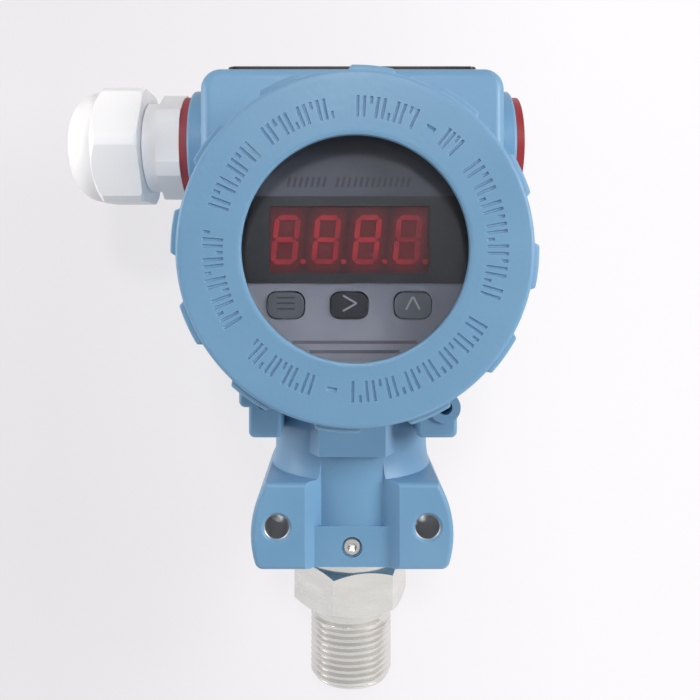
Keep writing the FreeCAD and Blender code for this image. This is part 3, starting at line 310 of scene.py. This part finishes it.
def turned_metal(name, dark, light, rough, axis=None, centre_z=0.0, fineness=1500.0, depth=0.00002):
    """A turned metal: two close colours and a roughness spread by the tool's rings, brighter worn edges."""
    material, tree = finish(name, Metallic=1.0)
    where = axis(tree, centre_z) if axis else add(tree, "TexCoord")["Object"]
    marks = use(tree, tool_rings, place=where, fineness=fineness)
    base = add(tree, "MixRGB", {0: marks["Streak"], 1: dark, 2: light})[0]
    edge = use(tree, worn_edges, radius=0.0004, gain=5.0)["Mask"]
    bright = tuple(min(1.0, 1.15 * v) for v in light[:3]) + (1.0,)
    shade = add(tree, "MixRGB", {0: edge, 1: base, 2: bright})[0]
    spread = add(tree, "MapRange", {0: marks["Height"], 1: 0.3, 2: 0.7, 3: rough - 0.07, 4: rough + 0.09})[0]
    bump = add(tree, "Bump", {"Strength": 0.5, "Distance": depth, "Height": marks["Height"]})[0]
    link(tree, base_color=shade, roughness=spread, normal=bump)
    return material


thread_r = 10.0
thread_pitch = 1.5
thread_len = 16.0
thread_chamfer = 1.0
relief_r = 9.2
hex_flat_r = 12.5
hex_turn = math.radians(-107.0)
stem_r = 12.0
port_r = 2.0
seat_r = 9.6
seat_depth = 15.0
stem_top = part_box("process_connection")[1][2] / MM
hex_bottom = 18.6
hex_top = 29.0
stem_grooves = ((37.7, 5.4, 1.2), (43.5, 2.4, 2.4), (59.1, 1.2, 1.0))


def thread_rows(turn):
    """Radius and height of the thread's rows at each angle. The rows climb one pitch a turn; over one pitch the
    radius is the crest for an eighth, falls along a flank, keeps to the root for a quarter and climbs again, and a
    45 degree chamfer caps it at each end."""
    depth = 0.54 * thread_pitch
    corners = np.array((0.0, 0.0625, 0.3125, 0.375, 0.625, 0.6875, 0.9375, 1.0))
    cut = np.array((0.0, 0.0, 0.86, 1.0, 1.0, 0.86, 0.0, 0.0)) * depth
    pitches = np.arange(-2, int(thread_len / thread_pitch) + 2)
    start = (pitches[:, None] + corners[None, :-1]).ravel() * thread_pitch
    height = np.clip(start[:, None] + thread_pitch * turn[None, :] / (2 * math.pi), 0.0, thread_len)
    phase = np.mod((height - thread_pitch * turn[None, :] / (2 * math.pi)) / thread_pitch, 1.0)
    radius = thread_r - np.interp(phase, corners, cut)
    ends = thread_r - thread_chamfer + np.minimum(height, thread_len - height)
    return np.minimum(radius, np.maximum(ends, relief_r)), height


def connection_grid():
    """The whole bar as rows of radius and height round its axis, from the port's mouth up the outside, over the
    stem's top and back down the sensor's seat and the port. The hexagon's radius is its flat's distance over the
    cosine of the angle from the flat's middle, and its 30 degree chamfer starts where that passes the flat."""
    turn = np.linspace(0.0, 2 * math.pi, 145)
    ones = np.ones_like(turn)
    from_middle = np.mod(turn, math.pi / 3) - math.pi / 6
    flat = hex_flat_r / np.cos(from_middle)
    drop = (flat - hex_flat_r) * math.tan(math.radians(30))
    rows = [(port_r * ones, 0.0 * ones), ((port_r + 0.4) * ones, 0.0 * ones)]
    thread_radius, thread_height = thread_rows(turn)
    rows += list(zip(thread_radius, thread_height))
    rows += [(relief_r * ones, thread_len * ones), (relief_r * ones, (hex_bottom - 0.5) * ones)]
    rows += [((relief_r + 0.5) * ones, hex_bottom * ones), (hex_flat_r * ones, hex_bottom * ones)]
    rows += [(flat, hex_bottom + drop), (flat, hex_top - drop)]
    rows += [(hex_flat_r * ones, hex_top * ones), ((stem_r + 0.2) * ones, hex_top * ones)]
    rows += [(stem_r * ones, (hex_top + 0.2) * ones)]
    for middle, width, depth in stem_grooves:
        for radius, height in ((stem_r, middle - width / 2), (stem_r - depth, middle - width / 2),
                               (stem_r - depth, middle + width / 2), (stem_r, middle + width / 2)):
            rows.append((radius * ones, height * ones))
    for radius, height in ((stem_r, stem_top - 0.3), (stem_r - 0.3, stem_top), (seat_r, stem_top),
                           (seat_r, stem_top - seat_depth), (port_r, stem_top - seat_depth)):
        rows.append((radius * ones, height * ones))
    radius = np.array([row[0] for row in rows])
    height = np.array([row[1] for row in rows])
    angle = hex_turn + turn[None, :]
    return np.stack((radius * np.cos(angle), radius * np.sin(angle), height), -1)


stainless = turned_metal("turned_stainless", colour(216, 214, 210), colour(227, 225, 221), 0.22, fineness=1300.0,
                         depth=0.00001)
connection = skin("threaded_connection", connection_grid(), stainless, "stem", 25.0)
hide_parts("process_connection")


# ---------------------------------------------------------------- sensor in the stem
# A sealed stainless pressure cell on a rubber seal, with its glass header, gold-plated pins and
# a small round board stacked above it. A spring clip and a round seal hold the stem in the head.

def make_grain():
    """Small bumps and slow blotches in a solid or a skin of paint: Height mixes a coarse and a fine noise, Mottle
    is a slow one from 0 to 1. Size is the coarse bump's width in metres."""
    group, given, result = effect("grain", {"Size": 0.001, "Fine": 0.3}, ("Height", "Mottle"))
    where = add(group, "TexCoord")["Object"]
    scale = add(group, "Math", {0: 1.0, 1: given["Size"]}, operation="DIVIDE")[0]
    coarse = add(group, "TexNoise", {"Vector": where, "Scale": scale, "Detail": 1.0})[0]
    close = add(group, "Math", {0: scale, 1: 6.0}, operation="MULTIPLY")[0]
    fine = add(group, "TexNoise", {"Vector": where, "Scale": close, "Detail": 2.0})[0]
    mixed = add(group, "Mix", {0: given["Fine"], 2: coarse, 3: fine})[0]
    slow = add(group, "TexNoise", {"Vector": where, "Scale": 30.0, "Detail": 4.0})[0]
    group.links.new(mixed, result["Height"])
    group.links.new(add(group, "MapRange", {0: slow, 1: 0.32, 2: 0.68})[0], result["Mottle"])
    return group


grain = make_grain()


def moulded(name, dark, light, rough, size=0.0005, depth=0.00003, fine=0.4, edge=None, **plain):
    """A moulded, painted or cast skin: two close colours by blotches, an edge colour where it turns, a roughness
    that follows the blotches, and its grain as bump."""
    material, tree = finish(name, **plain)
    look = use(tree, grain, size=size, fine=fine)
    base = add(tree, "MixRGB", {0: look["Mottle"], 1: dark, 2: light})[0]
    if edge:
        worn = use(tree, worn_edges, radius=0.0005, gain=2.5)["Mask"]
        base = add(tree, "MixRGB", {0: worn, 1: base, 2: edge})[0]
    vary = add(tree, "MapRange", {0: look["Height"], 1: 0.3, 2: 0.7, 3: rough - 0.04, 4: rough + 0.04})[0]
    bump = add(tree, "Bump", {"Strength": 0.6, "Distance": depth, "Height": look["Height"]})[0]
    link(tree, base_color=base, roughness=vary, normal=bump)
    return material


def board_finish(name, mask, trace):
    """A circuit board: green mask with lighter traces on a 1.3 mm brick raster and small tinned pads."""
    material, tree = finish(name, Roughness=0.35)
    where = add(tree, "TexCoord")["Object"]
    flat = add(tree, "CombineXYZ", {0: add(tree, "SeparateXYZ", {0: where})[0],
                                    1: add(tree, "SeparateXYZ", {0: where})[2]})[0]
    bricks = add(tree, "TexBrick", {"Vector": flat, "Scale": 380.0, "Mortar Size": 0.035,
                                    "Color1": mask, "Color2": mask, "Mortar": trace})["Color"]
    cells = add(tree, "TexVoronoi", {"Vector": where, "Scale": 330.0})["Distance"]
    pad = add(tree, "Math", {0: cells, 1: 0.17}, operation="LESS_THAN")[0]
    tinned = add(tree, "MixRGB", {0: pad, 1: bricks, 2: colour(196, 190, 170)})[0]
    look = use(tree, grain, size=0.0004)
    rough = add(tree, "MapRange", {0: look["Height"], 3: 0.25, 4: 0.45})[0]
    link(tree, base_color=tinned, metallic=pad, roughness=rough,
         normal=add(tree, "Bump", {"Strength": 0.4, "Distance": 0.00003, "Height": look["Height"]})[0])
    return material


small_steel = turned_metal("small_steel", colour(176, 174, 171), colour(206, 204, 200), 0.27, fineness=2600.0)
gold_pins = turned_metal("gold_pins", colour(190, 152, 84), colour(216, 182, 112), 0.25, fineness=2600.0)
black_rubber = moulded("black_rubber", colour(24, 24, 25), colour(36, 36, 38), 0.62, size=0.0004)
green_board = board_finish("green_board", colour(18, 92, 52), colour(38, 124, 74))
black_plastic = moulded("black_plastic", colour(26, 26, 28), colour(38, 38, 41), 0.45, size=0.0004,
                        edge=colour(64, 64, 68))
dress(small_steel, "sensor_cell", "stem_clip")
dress(gold_pins, "sensor_pins")
dress(black_rubber, "sensor_seal", "stem_seal")
dress(black_plastic, "sensor_header")
dress(green_board, "sensor_board")


# ---------------------------------------------------------------- head casting and its fasteners
# The head is one aluminium die casting: a square body with a screwed spigot at each end, a boss
# at each side, a neck and two ears. It is powder coated blue, with a fine orange peel.

paint_dark = colour(108, 153, 188)
paint_light = colour(120, 163, 197)
bare_metal = colour(198, 200, 203)
ear_hole_x = 17.05
ear_hole_z = 42.9
ear_hole_r = 2.75
ear_hole_end_y = -8.0


def blue_coat(name):
    """Blue powder coat: a fine orange peel, slow blotches, paler where an edge turns, and a soft satin gloss."""
    return moulded(name, paint_dark, paint_light, 0.42, size=0.0011, depth=0.00007, fine=0.25,
                   edge=colour(150, 186, 214), Specular_IOR_Level=0.45)


def bare_holes(material):
    """Bare machined aluminium in the two ear holes: within their radius of their axes, and no further back than
    their bottoms, the paint gives way to metal."""
    tree = material.node_tree
    axes = add(tree, "SeparateXYZ", {0: add(tree, "TexCoord")["Object"]})
    side = add(tree, "Math", {0: add(tree, "Math", {0: axes[0]}, operation="ABSOLUTE")[0], 1: ear_hole_x * MM},
               operation="SUBTRACT")[0]
    up = add(tree, "Math", {0: axes[2], 1: ear_hole_z * MM}, operation="SUBTRACT")[0]
    reach = add(tree, "VectorMath", {0: add(tree, "CombineXYZ", {0: side, 1: up})[0]}, operation="LENGTH")["Value"]
    near = add(tree, "Math", {0: reach, 1: (ear_hole_r + 0.15) * MM}, operation="LESS_THAN")[0]
    ahead = add(tree, "Math", {0: axes[1], 1: ear_hole_end_y * MM}, operation="LESS_THAN")[0]
    bare = add(tree, "Math", {0: near, 1: ahead}, operation="MULTIPLY")[0]
    paint = tree.nodes["Principled BSDF"].inputs["Base Color"].links[0].from_socket
    link(tree, base_color=add(tree, "MixRGB", {0: bare, 1: paint, 2: bare_metal})[0], metallic=bare)


blue_paint = blue_coat("blue_powder_coat")
bare_holes(blue_paint)
dress(blue_paint, "housing", "rear_cover")
dress(small_steel, "neck_set_screw", "cover_lock_screw")
dress(black_rubber, "front_cover_seal", "rear_cover_seal")


# ---------------------------------------------------------------- nameplate
# A black anodised aluminium plate on the head's top, with a bare border line and empty fields,
# held by two steel rivets.

border_inset = 0.0018
border_half_w = 0.00018
field_inset = 0.0035
field_y = 0.0075
field_half_w = 0.0001


def plate_finish():
    """Black anodising with a pale engraved line at a set distance inside the plate's edge and two across it."""
    low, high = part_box("nameplate")
    half_x = (high[0] - low[0]) / 2
    half_y = (high[1] - low[1]) / 2
    material, tree = finish("black_anodised", Metallic=0.55)
    axes = add(tree, "SeparateXYZ", {0: add(tree, "TexCoord")["Object"]})
    in_x = add(tree, "Math", {0: half_x, 1: add(tree, "Math", {0: axes[0]}, operation="ABSOLUTE")[0]},
               operation="SUBTRACT")[0]
    in_y = add(tree, "Math", {0: half_y, 1: add(tree, "Math", {0: axes[1]}, operation="ABSOLUTE")[0]},
               operation="SUBTRACT")[0]
    inset = add(tree, "Math", {0: in_x, 1: in_y}, operation="MINIMUM")[0]
    border = add(tree, "Math", {0: inset, 1: border_inset, 2: border_half_w}, operation="COMPARE")[0]
    shelf = add(tree, "Math", {0: axes[1], 1: 0.008}, operation="PINGPONG")[0]
    rule = add(tree, "Math", {0: shelf, 1: field_y, 2: field_half_w}, operation="COMPARE")[0]
    inside = add(tree, "Math", {0: inset, 1: field_inset}, operation="GREATER_THAN")[0]
    fields = add(tree, "Math", {0: rule, 1: inside}, operation="MULTIPLY")[0]
    line = add(tree, "Math", {0: border, 1: fields}, operation="MAXIMUM")[0]
    look = use(tree, grain, size=0.0003)
    black = add(tree, "MixRGB", {0: look["Mottle"], 1: colour(20, 21, 24), 2: colour(32, 33, 37)})[0]
    drawn = add(tree, "MixRGB", {0: line, 1: black, 2: colour(170, 172, 176)})[0]
    worn = use(tree, worn_edges, radius=0.0003, gain=6.0)["Mask"]
    link(tree, base_color=add(tree, "MixRGB", {0: worn, 1: drawn, 2: colour(120, 122, 126)})[0],
         roughness=add(tree, "MapRange", {0: look["Height"], 3: 0.3, 4: 0.5})[0],
         normal=add(tree, "Bump", {"Strength": 0.4, "Distance": 0.00002, "Height": look["Height"]})[0])
    return material


dress(plate_finish(), "nameplate")
dress(small_steel, "nameplate_rivets")


# ---------------------------------------------------------------- boards and terminals
# The main board stands on posts in the front chamber, with two capacitors and a processor. Pins
# pass through the partition to a black terminal block with slotted screws in the rear chamber.

cover_axis_z = 105.5
capacitor_can = turned_metal("capacitor_can", colour(150, 152, 156), colour(178, 180, 184), 0.34, along_y,
                             cover_axis_z)
screw_plate = turned_metal("nickel_screws", colour(186, 180, 166), colour(210, 205, 190), 0.28, along_y,
                           cover_axis_z, 2600.0)
dress(green_board, "main_board", "display_board")
dress(capacitor_can, "board_capacitors")
dress(black_plastic, "board_processor", "terminal_block")
dress(screw_plate, "board_screws", "display_screws", "terminal_screws", "inner_earth_screw")
dress(gold_pins, "feedthrough_pins", "display_standoffs")


# ---------------------------------------------------------------- display module
# A grey printed panel on a black cup holds a red lens with four lit seven-bar digits, a black
# band round it, and three soft keys with printed signs. All of it sits behind the window.

panel_low, panel_high = (np.array(v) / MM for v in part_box("display_face"))
panel_y = panel_low[1]
panel_r = (panel_high[0] - panel_low[0]) / 2
# Heights over which the panel's painted shade deepens towards its top.
panel_shade_z = (85.0, 127.0)
ink_t = 0.03


def printed(name, bars, front_y, material, body):
    """Printed bars in one piece. A bar is its middle x and z, length, width and lean in degrees; its corners are
    the middle plus or minus half the length along the lean and half the width across it, at front_y and behind."""
    bars = np.array(bars, float)
    lean = np.radians(bars[:, 4])
    along = np.stack((np.cos(lean), np.sin(lean)), -1) * bars[:, 2:3] / 2
    across = np.stack((-np.sin(lean), np.cos(lean)), -1) * bars[:, 3:4] / 2
    corners = bars[:, None, :2] + np.stack((-along - across, along - across, along + across, across - along), 1)
    points = np.zeros((len(bars), 8, 3))
    points[:, :4, 0] = points[:, 4:, 0] = corners[..., 0]
    points[:, :4, 2] = points[:, 4:, 2] = corners[..., 1]
    points[:, :4, 1] = front_y - ink_t
    points[:, 4:, 1] = front_y + ink_t
    sides = np.array(((0, 1, 2, 3), (7, 6, 5, 4), (1, 0, 4, 5), (2, 1, 5, 6), (3, 2, 6, 7), (0, 3, 7, 4)))
    faces = (np.arange(len(bars))[:, None, None] * 8 + sides[None]).reshape(-1, 4)
    mesh = bpy.data.meshes.new(name)
    mesh.from_pydata((points.reshape(-1, 3) * MM).tolist(), [], faces.tolist())
    return place(name, mesh, material, body)


def panel_print_painted_shade():
    """Grey screen print with the fine mottle of the ink, much darker and bluer towards its top: that darkening is
    painted shade for the window rim's shadow on the panel.
    """
    material, tree = finish("panel_print_painted_shade")
    height = add(tree, "SeparateXYZ", {0: add(tree, "TexCoord")["Object"]})[2]
    # Painted shade: from the lower to the upper height the grey gives way to a dark blue grey, for the rim's shadow.
    rise = add(tree, "MapRange", {0: height, 1: panel_shade_z[0] * MM, 2: panel_shade_z[1] * MM})[0]
    tone = add(tree, "MixRGB", {0: rise, 1: colour(134, 136, 147), 2: colour(56, 60, 71)})[0]
    look = use(tree, grain, size=0.0004)
    spotted = add(tree, "MixRGB", {0: look["Mottle"], 1: tone, 2: colour(128, 132, 142)}, blend_type="SOFT_LIGHT")[0]
    link(tree, base_color=spotted, roughness=add(tree, "MapRange", {0: look["Height"], 3: 0.4, 4: 0.6})[0],
         normal=add(tree, "Bump", {"Strength": 0.3, "Distance": 0.000008, "Height": look["Height"]})[0])
    return material


lens_low, lens_high = (np.array(v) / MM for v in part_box("led_module"))
lens_middle = (lens_low + lens_high) / 2
digit_pitch = (lens_high[0] - lens_low[0] + 0.7) / 4
digits_x = lens_middle[0] - 0.5
digit_lean = -0.105
digit_half_w = 0.0030
digit_half_h = 0.0052


def digit_glow(tree):
    """How near a point lies to a digit, from 0 to 1: the fourth root of the sum of the fourth powers of its
    distances from the digit's middle, over the digit's half width and height, taken from a limit."""
    axes = add(tree, "SeparateXYZ", {0: add(tree, "TexCoord")["Object"]})
    lean = add(tree, "Math", {0: axes[2], 1: lens_middle[2] * MM}, operation="SUBTRACT")[0]
    upright = add(tree, "Math", {0: lean, 1: digit_lean, 2: axes[0]}, operation="MULTIPLY_ADD")[0]
    shifted = add(tree, "Math", {0: upright, 1: (digits_x - 2 * digit_pitch) * MM}, operation="SUBTRACT")[0]
    wave = add(tree, "Math", {0: shifted, 1: digit_pitch * MM / 2}, operation="PINGPONG")[0]
    side = add(tree, "Math", {0: digit_pitch * MM / 2, 1: wave}, operation="SUBTRACT")[0]
    wide = add(tree, "Math", {0: add(tree, "Math", {0: side, 1: digit_half_w}, operation="DIVIDE")[0], 1: 4.0},
               operation="POWER")[0]
    tall_share = add(tree, "Math", {0: add(tree, "Math", {0: lean}, operation="ABSOLUTE")[0], 1: digit_half_h},
                     operation="DIVIDE")[0]
    tall = add(tree, "Math", {0: tall_share, 1: 4.0}, operation="POWER")[0]
    reach = add(tree, "Math", {0: add(tree, "Math", {0: wide, 1: tall}, operation="ADD")[0], 1: 0.25},
                operation="POWER")[0]
    return add(tree, "MapRange", {0: reach, 1: 1.55, 2: 0.75}, interpolation_type="SMOOTHSTEP")[0]


def red_lens():
    """Dark red tinted lens over the digits, glowing where they shine into it."""
    material, tree = finish("red_lens", Roughness=0.3, Emission_Strength=1.0)
    near = digit_glow(tree)
    look = use(tree, grain, size=0.0006)
    base = add(tree, "MixRGB", {0: look["Mottle"], 1: colour(40, 24, 28), 2: colour(50, 30, 34)})[0]
    glow = add(tree, "MixRGB", {0: near, 1: colour(4, 1, 1), 2: colour(84, 14, 18)})[0]
    link(tree, base_color=base, emission_color=glow,
         roughness=add(tree, "MapRange", {0: look["Height"], 3: 0.25, 4: 0.4})[0],
         normal=add(tree, "Bump", {"Strength": 0.3, "Distance": 0.00002, "Height": look["Height"]})[0])
    return material


def lit_red():
    """Lit bars: two close reds in slow patches, fading to a dimmer one over the last digit."""
    material, tree = finish("lit_red", Roughness=0.35, Emission_Strength=1.0, Base_Color=colour(92, 26, 34))
    axes = add(tree, "SeparateXYZ", {0: add(tree, "TexCoord")["Object"]})
    fade = add(tree, "MapRange", {0: axes[0], 1: (digits_x + digit_pitch) * MM,
                                  2: (digits_x + 2 * digit_pitch) * MM, 3: 0.0, 4: 1.0})[0]
    flicker = add(tree, "TexNoise", {"Vector": add(tree, "TexCoord")["Object"], "Scale": 260.0, "Detail": 2.0})[0]
    shine = add(tree, "MixRGB", {0: add(tree, "MapRange", {0: flicker, 1: 0.35, 2: 0.65})[0],
                                 1: colour(98, 14, 22), 2: colour(132, 22, 30)})[0]
    link(tree, emission_color=add(tree, "MixRGB", {0: fade, 1: shine, 2: colour(84, 20, 28)})[0])
    return material


black_band = moulded("black_band", colour(32, 33, 38), colour(44, 45, 50), 0.36, size=0.0005, depth=0.00001)
dark_key = moulded("dark_key", colour(20, 22, 29), colour(30, 32, 40), 0.45, size=0.0004, depth=0.00001,
                   edge=colour(60, 60, 70))
grey_key = moulded("grey_key", colour(68, 74, 82), colour(78, 84, 93), 0.48, size=0.0004, depth=0.00001,
                   edge=colour(94, 98, 106))
pale_ink = moulded("pale_ink", colour(128, 130, 140), colour(146, 148, 158), 0.5, size=0.0003)
dark_ink = moulded("dark_ink", colour(40, 41, 50), colour(52, 53, 62), 0.5, size=0.0003, depth=0.00001)
foot_line_grey = moulded("foot_line_grey", colour(86, 86, 96), colour(98, 98, 108), 0.5, size=0.0003, depth=0.00001)
dress(panel_print_painted_shade(), "display_face")
dress(black_band, "display_band")
dress(black_plastic, "display_cup", "key_switches")
dress(red_lens(), "led_module")
dress(lit_red(), "led_digits")
dress(dark_key, "middle_key")
dress(grey_key, "left_key", "right_key")

title_z = 118.2
title_lean = 76.0
foot_z = (87.9, 86.1)
title_middles = np.concatenate((np.arange(-12.4, -4.6, 1.12), np.arange(-3.2, 11.1, 1.12)))
title_bars = [(x, title_z, 2.0, 0.5, title_lean) for x in title_middles]
# Two thin dark grey lines across the panel's foot, drawn as flat bars in the same way as the print.
foot_bars = [(0.0, z, 2 * math.sqrt((panel_r - 0.6) ** 2 - (cover_axis_z - z) ** 2), 0.62, 0.0)
             for z in foot_z]
printed("panel_print", title_bars, panel_y, dark_ink, "head")
printed("panel_foot_lines", foot_bars, panel_y, foot_line_grey, "head")


def key_sign(name, node, body, bars, material):
    """A printed sign on a key: bars given about the key's middle, on its front face."""
    low, high = (np.array(v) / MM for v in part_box(node))
    middle = (low + high) / 2
    placed = [(middle[0] + x, middle[2] + z, length, width, lean) for x, z, length, width, lean in bars]
    printed(name, placed, low[1], material, body)


stroke = 0.34
key_sign("left_key_sign", "left_key", "left_key",
         [(0, 1.05, 3.4, stroke, 0), (0, 0, 3.4, stroke, 0), (0, -1.05, 3.4, stroke, 0)], dark_ink)
key_sign("middle_key_sign", "middle_key", "middle_key",
         [(0.1, 0.72, 3.0, stroke, -30), (0.1, -0.72, 3.0, stroke, 30)], pale_ink)
key_sign("right_key_sign", "right_key", "right_key",
         [(-0.68, 0, 2.7, stroke, 63), (0.68, 0, 2.7, stroke, -63)], pale_ink)


# ---------------------------------------------------------------- front cover
# A die-cast and machined ring that screws over the front spigot. Twelve short ribs round its
# rim give grip, and recessed bars in groups run round its face. The paint is the head's.

front_low, front_high = (np.array(v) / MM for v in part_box("front_cover"))
face_y = front_low[1]
cover_end_y = front_high[1]
window_r = 20.8
face_r = 32.8
face_round = 0.9
skirt_r = 33.2
rib_r = 34.1
rib_back = 19.2
rib_pitch = 30.0
first_rib = 5.5
thread_bore_r = 31.5
ring_bore_r = 29.6
glass_bore_r = 25.6
lip_r = 24.05
mark_groups = ((0.0, 25.5), (37.5, 46.0), (53.5, 110.0), (120.0, 182.0), (197.0, 228.0), (238.0, 277.5),
               (286.0, 315.0), (321.0, 351.5))
dash_angles = (32.0, 189.5)
mark_depth = 0.4
mark_wall = 0.14
mark_rows = (24.0, 27.9)


def face_marks():
    """The recessed bars as middle angle, half width in degrees, and inner and outer radius. In each group two long
    bars are followed by one that is short at the rim, then two long and one short at the window."""
    inner, outer = mark_rows
    kinds = ((inner, outer), (inner, outer), (26.5, outer), (inner, outer), (inner, outer), (inner, 25.4))
    bars = []
    for start, end in mark_groups:
        middles = np.linspace(start + 1.0, end - 1.0, round((end - start) / 2.9) + 1)
        bars += [(middle, 0.66, *kinds[k % 6]) for k, middle in enumerate(middles)]
    bars += [(middle, 2.2, 25.6, 26.3) for middle in dash_angles]
    return np.array(bars)


def cover_grid():
    """Rows of radius and depth round the cover's axis, from the window's edge over the face, down the ribbed side
    and back up the inside. A bar's recess is its depth times how far a point lies inside it both ways, over the
    width of its wall. A rib lifts the side to its own radius by a smooth step in angle times one in depth."""
    marks = face_marks()
    rib_middles = first_rib + rib_pitch * np.arange(12)
    wall_deg = math.degrees(mark_wall / 26.0)
    edges = [np.concatenate((marks[:, 0] + s * marks[:, 1], marks[:, 0] + s * (marks[:, 1] - wall_deg)))
             for s in (-1, 1)]
    steps = [rib_middles + s * d for d in (8.1, 7.7, 7.2, 6.7, 6.3) for s in (-1, 1)]
    turn = np.concatenate([*edges, *steps, np.arange(0, 360, 2.5)])
    turn = np.unique(np.round(np.mod(turn, 360), 2))
    turn = turn[np.concatenate(([True], np.diff(turn) > 0.09))]
    turn = np.append(turn[turn < 359.95], turn[0] + 360)

    y = face_y
    lip_y = y + 1.2
    ring_y = lip_y + 5.5
    edge = np.radians(np.linspace(0, 90, 8))
    rows = [(window_r, lip_y), (window_r, y + 0.45), (window_r + 0.13, y + 0.13), (window_r + 0.45, y)]
    rows += [(r, y) for r in (21.8, 22.9, 23.7, 24.0, 24.12, 25.28, 25.4, 25.7, 25.82, 26.18, 26.3, 26.5, 26.62,
                              27.78, 27.9, 28.4, 29.5, 31.0)]
    rows += [(face_r - face_round + face_round * math.sin(a), y + face_round - face_round * math.cos(a))
             for a in edge]
    rib_y = y + 2.2
    rows += [(np.interp(back, (0.0, 1.2), (face_r, skirt_r)), rib_y + back)
             for back in (0.0, 0.05, 0.2, 0.5, 1.2, 6.0, 12.0)]
    rows += [(skirt_r, y + rib_back - back) for back in (0.5, 0.2, 0.05, 0.0)]
    rows += [(skirt_r, y + 25.0), (skirt_r, cover_end_y - 0.4), (skirt_r - 0.4, cover_end_y),
             (thread_bore_r, cover_end_y), (thread_bore_r, cover_end_y - 2.0), (ring_bore_r, cover_end_y - 2.0),
             (ring_bore_r, y + 18.0), (ring_bore_r, y + 10.0), (glass_bore_r, y + 10.0), (glass_bore_r, ring_y),
             (lip_r, ring_y), (lip_r, lip_y)]
    radius = np.array([row[0] for row in rows])[:, None] + 0 * turn[None, :]
    depth = np.array([row[1] for row in rows])[:, None] + 0 * turn[None, :]

    apart = np.abs(np.mod(turn[None, :] - marks[:, 0:1] + 180, 360) - 180)
    round_share = np.clip((marks[:, 1:2] - apart) / wall_deg, 0, 1)
    across = np.minimum(radius[:, :1] - marks[None, :, 2], marks[None, :, 3] - radius[:, :1]) / mark_wall
    on_face = (depth[:, 0] == y)[:, None]
    recess = np.max(np.clip(across, 0, 1)[:, :, None] * round_share[None], axis=1)
    depth = depth + mark_depth * recess * on_face

    from_rib = np.abs(np.mod(turn - first_rib + rib_pitch / 2, rib_pitch) - rib_pitch / 2)
    step = np.clip((8.1 - from_rib) / 1.7, 0, 1)
    lift = step * step * (3 - 2 * step)
    back_from = np.minimum(depth[:, 0] - rib_y, y + rib_back - depth[:, 0])
    rise = np.interp(back_from, (0.0, 0.05, 0.2, 0.5), (0.0, 0.45, 0.8, 1.0))
    outside = (radius[:, 0] >= face_r - 1e-6) & (depth[:, 0] >= rib_y - 1e-6) & (depth[:, 0] <= y + rib_back + 1e-6)
    radius = radius + (rib_r - radius) * (rise * outside)[:, None] * lift[None, :]

    angle = np.radians(turn)[None, :]
    return np.stack((radius * np.sin(angle), depth, cover_axis_z + radius * np.cos(angle)), -1)


cover_paint = blue_coat("blue_cover_coat")
cover = skin("front_cover_ring", cover_grid(), cover_paint, "front_cover", 28.0)
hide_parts("front_cover")


# ---------------------------------------------------------------- window
# A thick disc of toughened glass lies on a thin gasket against the cover's lip, and a threaded
# ring holds it from behind. Its faces carry a light haze.

def window_pane():
    """Clear glass with a trace of grey; light for shadows passes it straight, so the display stays lit."""
    material, tree = finish("window_pane", Base_Color=colour(236, 238, 240), Transmission_Weight=1.0, IOR=1.46)
    look = use(tree, grain, size=0.006, fine=0.15)
    link(tree, roughness=add(tree, "MapRange", {0: look["Height"], 1: 0.4, 2: 0.7, 3: 0.0, 4: 0.05})[0])
    through = add(tree, "BsdfTransparent", {0: colour(246, 247, 248)})[0]
    shadow = add(tree, "LightPath")["Is Shadow Ray"]
    mixed = add(tree, "MixShader", {0: shadow, 1: tree.nodes["Principled BSDF"].outputs[0], 2: through})[0]
    tree.links.new(mixed, tree.nodes["Material Output"].inputs[0])
    return material


window_ring_metal = turned_metal("window_ring_metal", colour(150, 152, 154), colour(180, 182, 184), 0.32, along_y,
                                 cover_axis_z)
dress(window_pane(), "window_glass")
dress(black_rubber, "window_gasket")
dress(window_ring_metal, "window_ring")


# ---------------------------------------------------------------- cable gland and plug
# A white nylon gland screws into the left boss over a red fibre washer: a hexagon, a clawed
# clamp round a black seal, and a domed nut. A red flanged plug closes the right boss.

white_nylon = moulded("white_nylon", colour(247, 246, 247), colour(252, 251, 252), 0.36, size=0.0009,
                      depth=0.00002, edge=colour(253, 253, 253), Specular_IOR_Level=0.4)
red_fibre = moulded("red_fibre", colour(138, 50, 58), colour(158, 62, 71), 0.6, size=0.0004, depth=0.00004,
                    edge=colour(172, 66, 68))
red_plastic = moulded("red_moulding", colour(142, 32, 40), colour(164, 42, 48), 0.42, size=0.0006,
                      edge=colour(180, 70, 74))
dress(white_nylon, "gland_body", "gland_claw", "gland_nut")
dress(red_fibre, "gland_washer")
dress(black_rubber, "gland_seal")
dress(red_plastic, "blanking_plug")
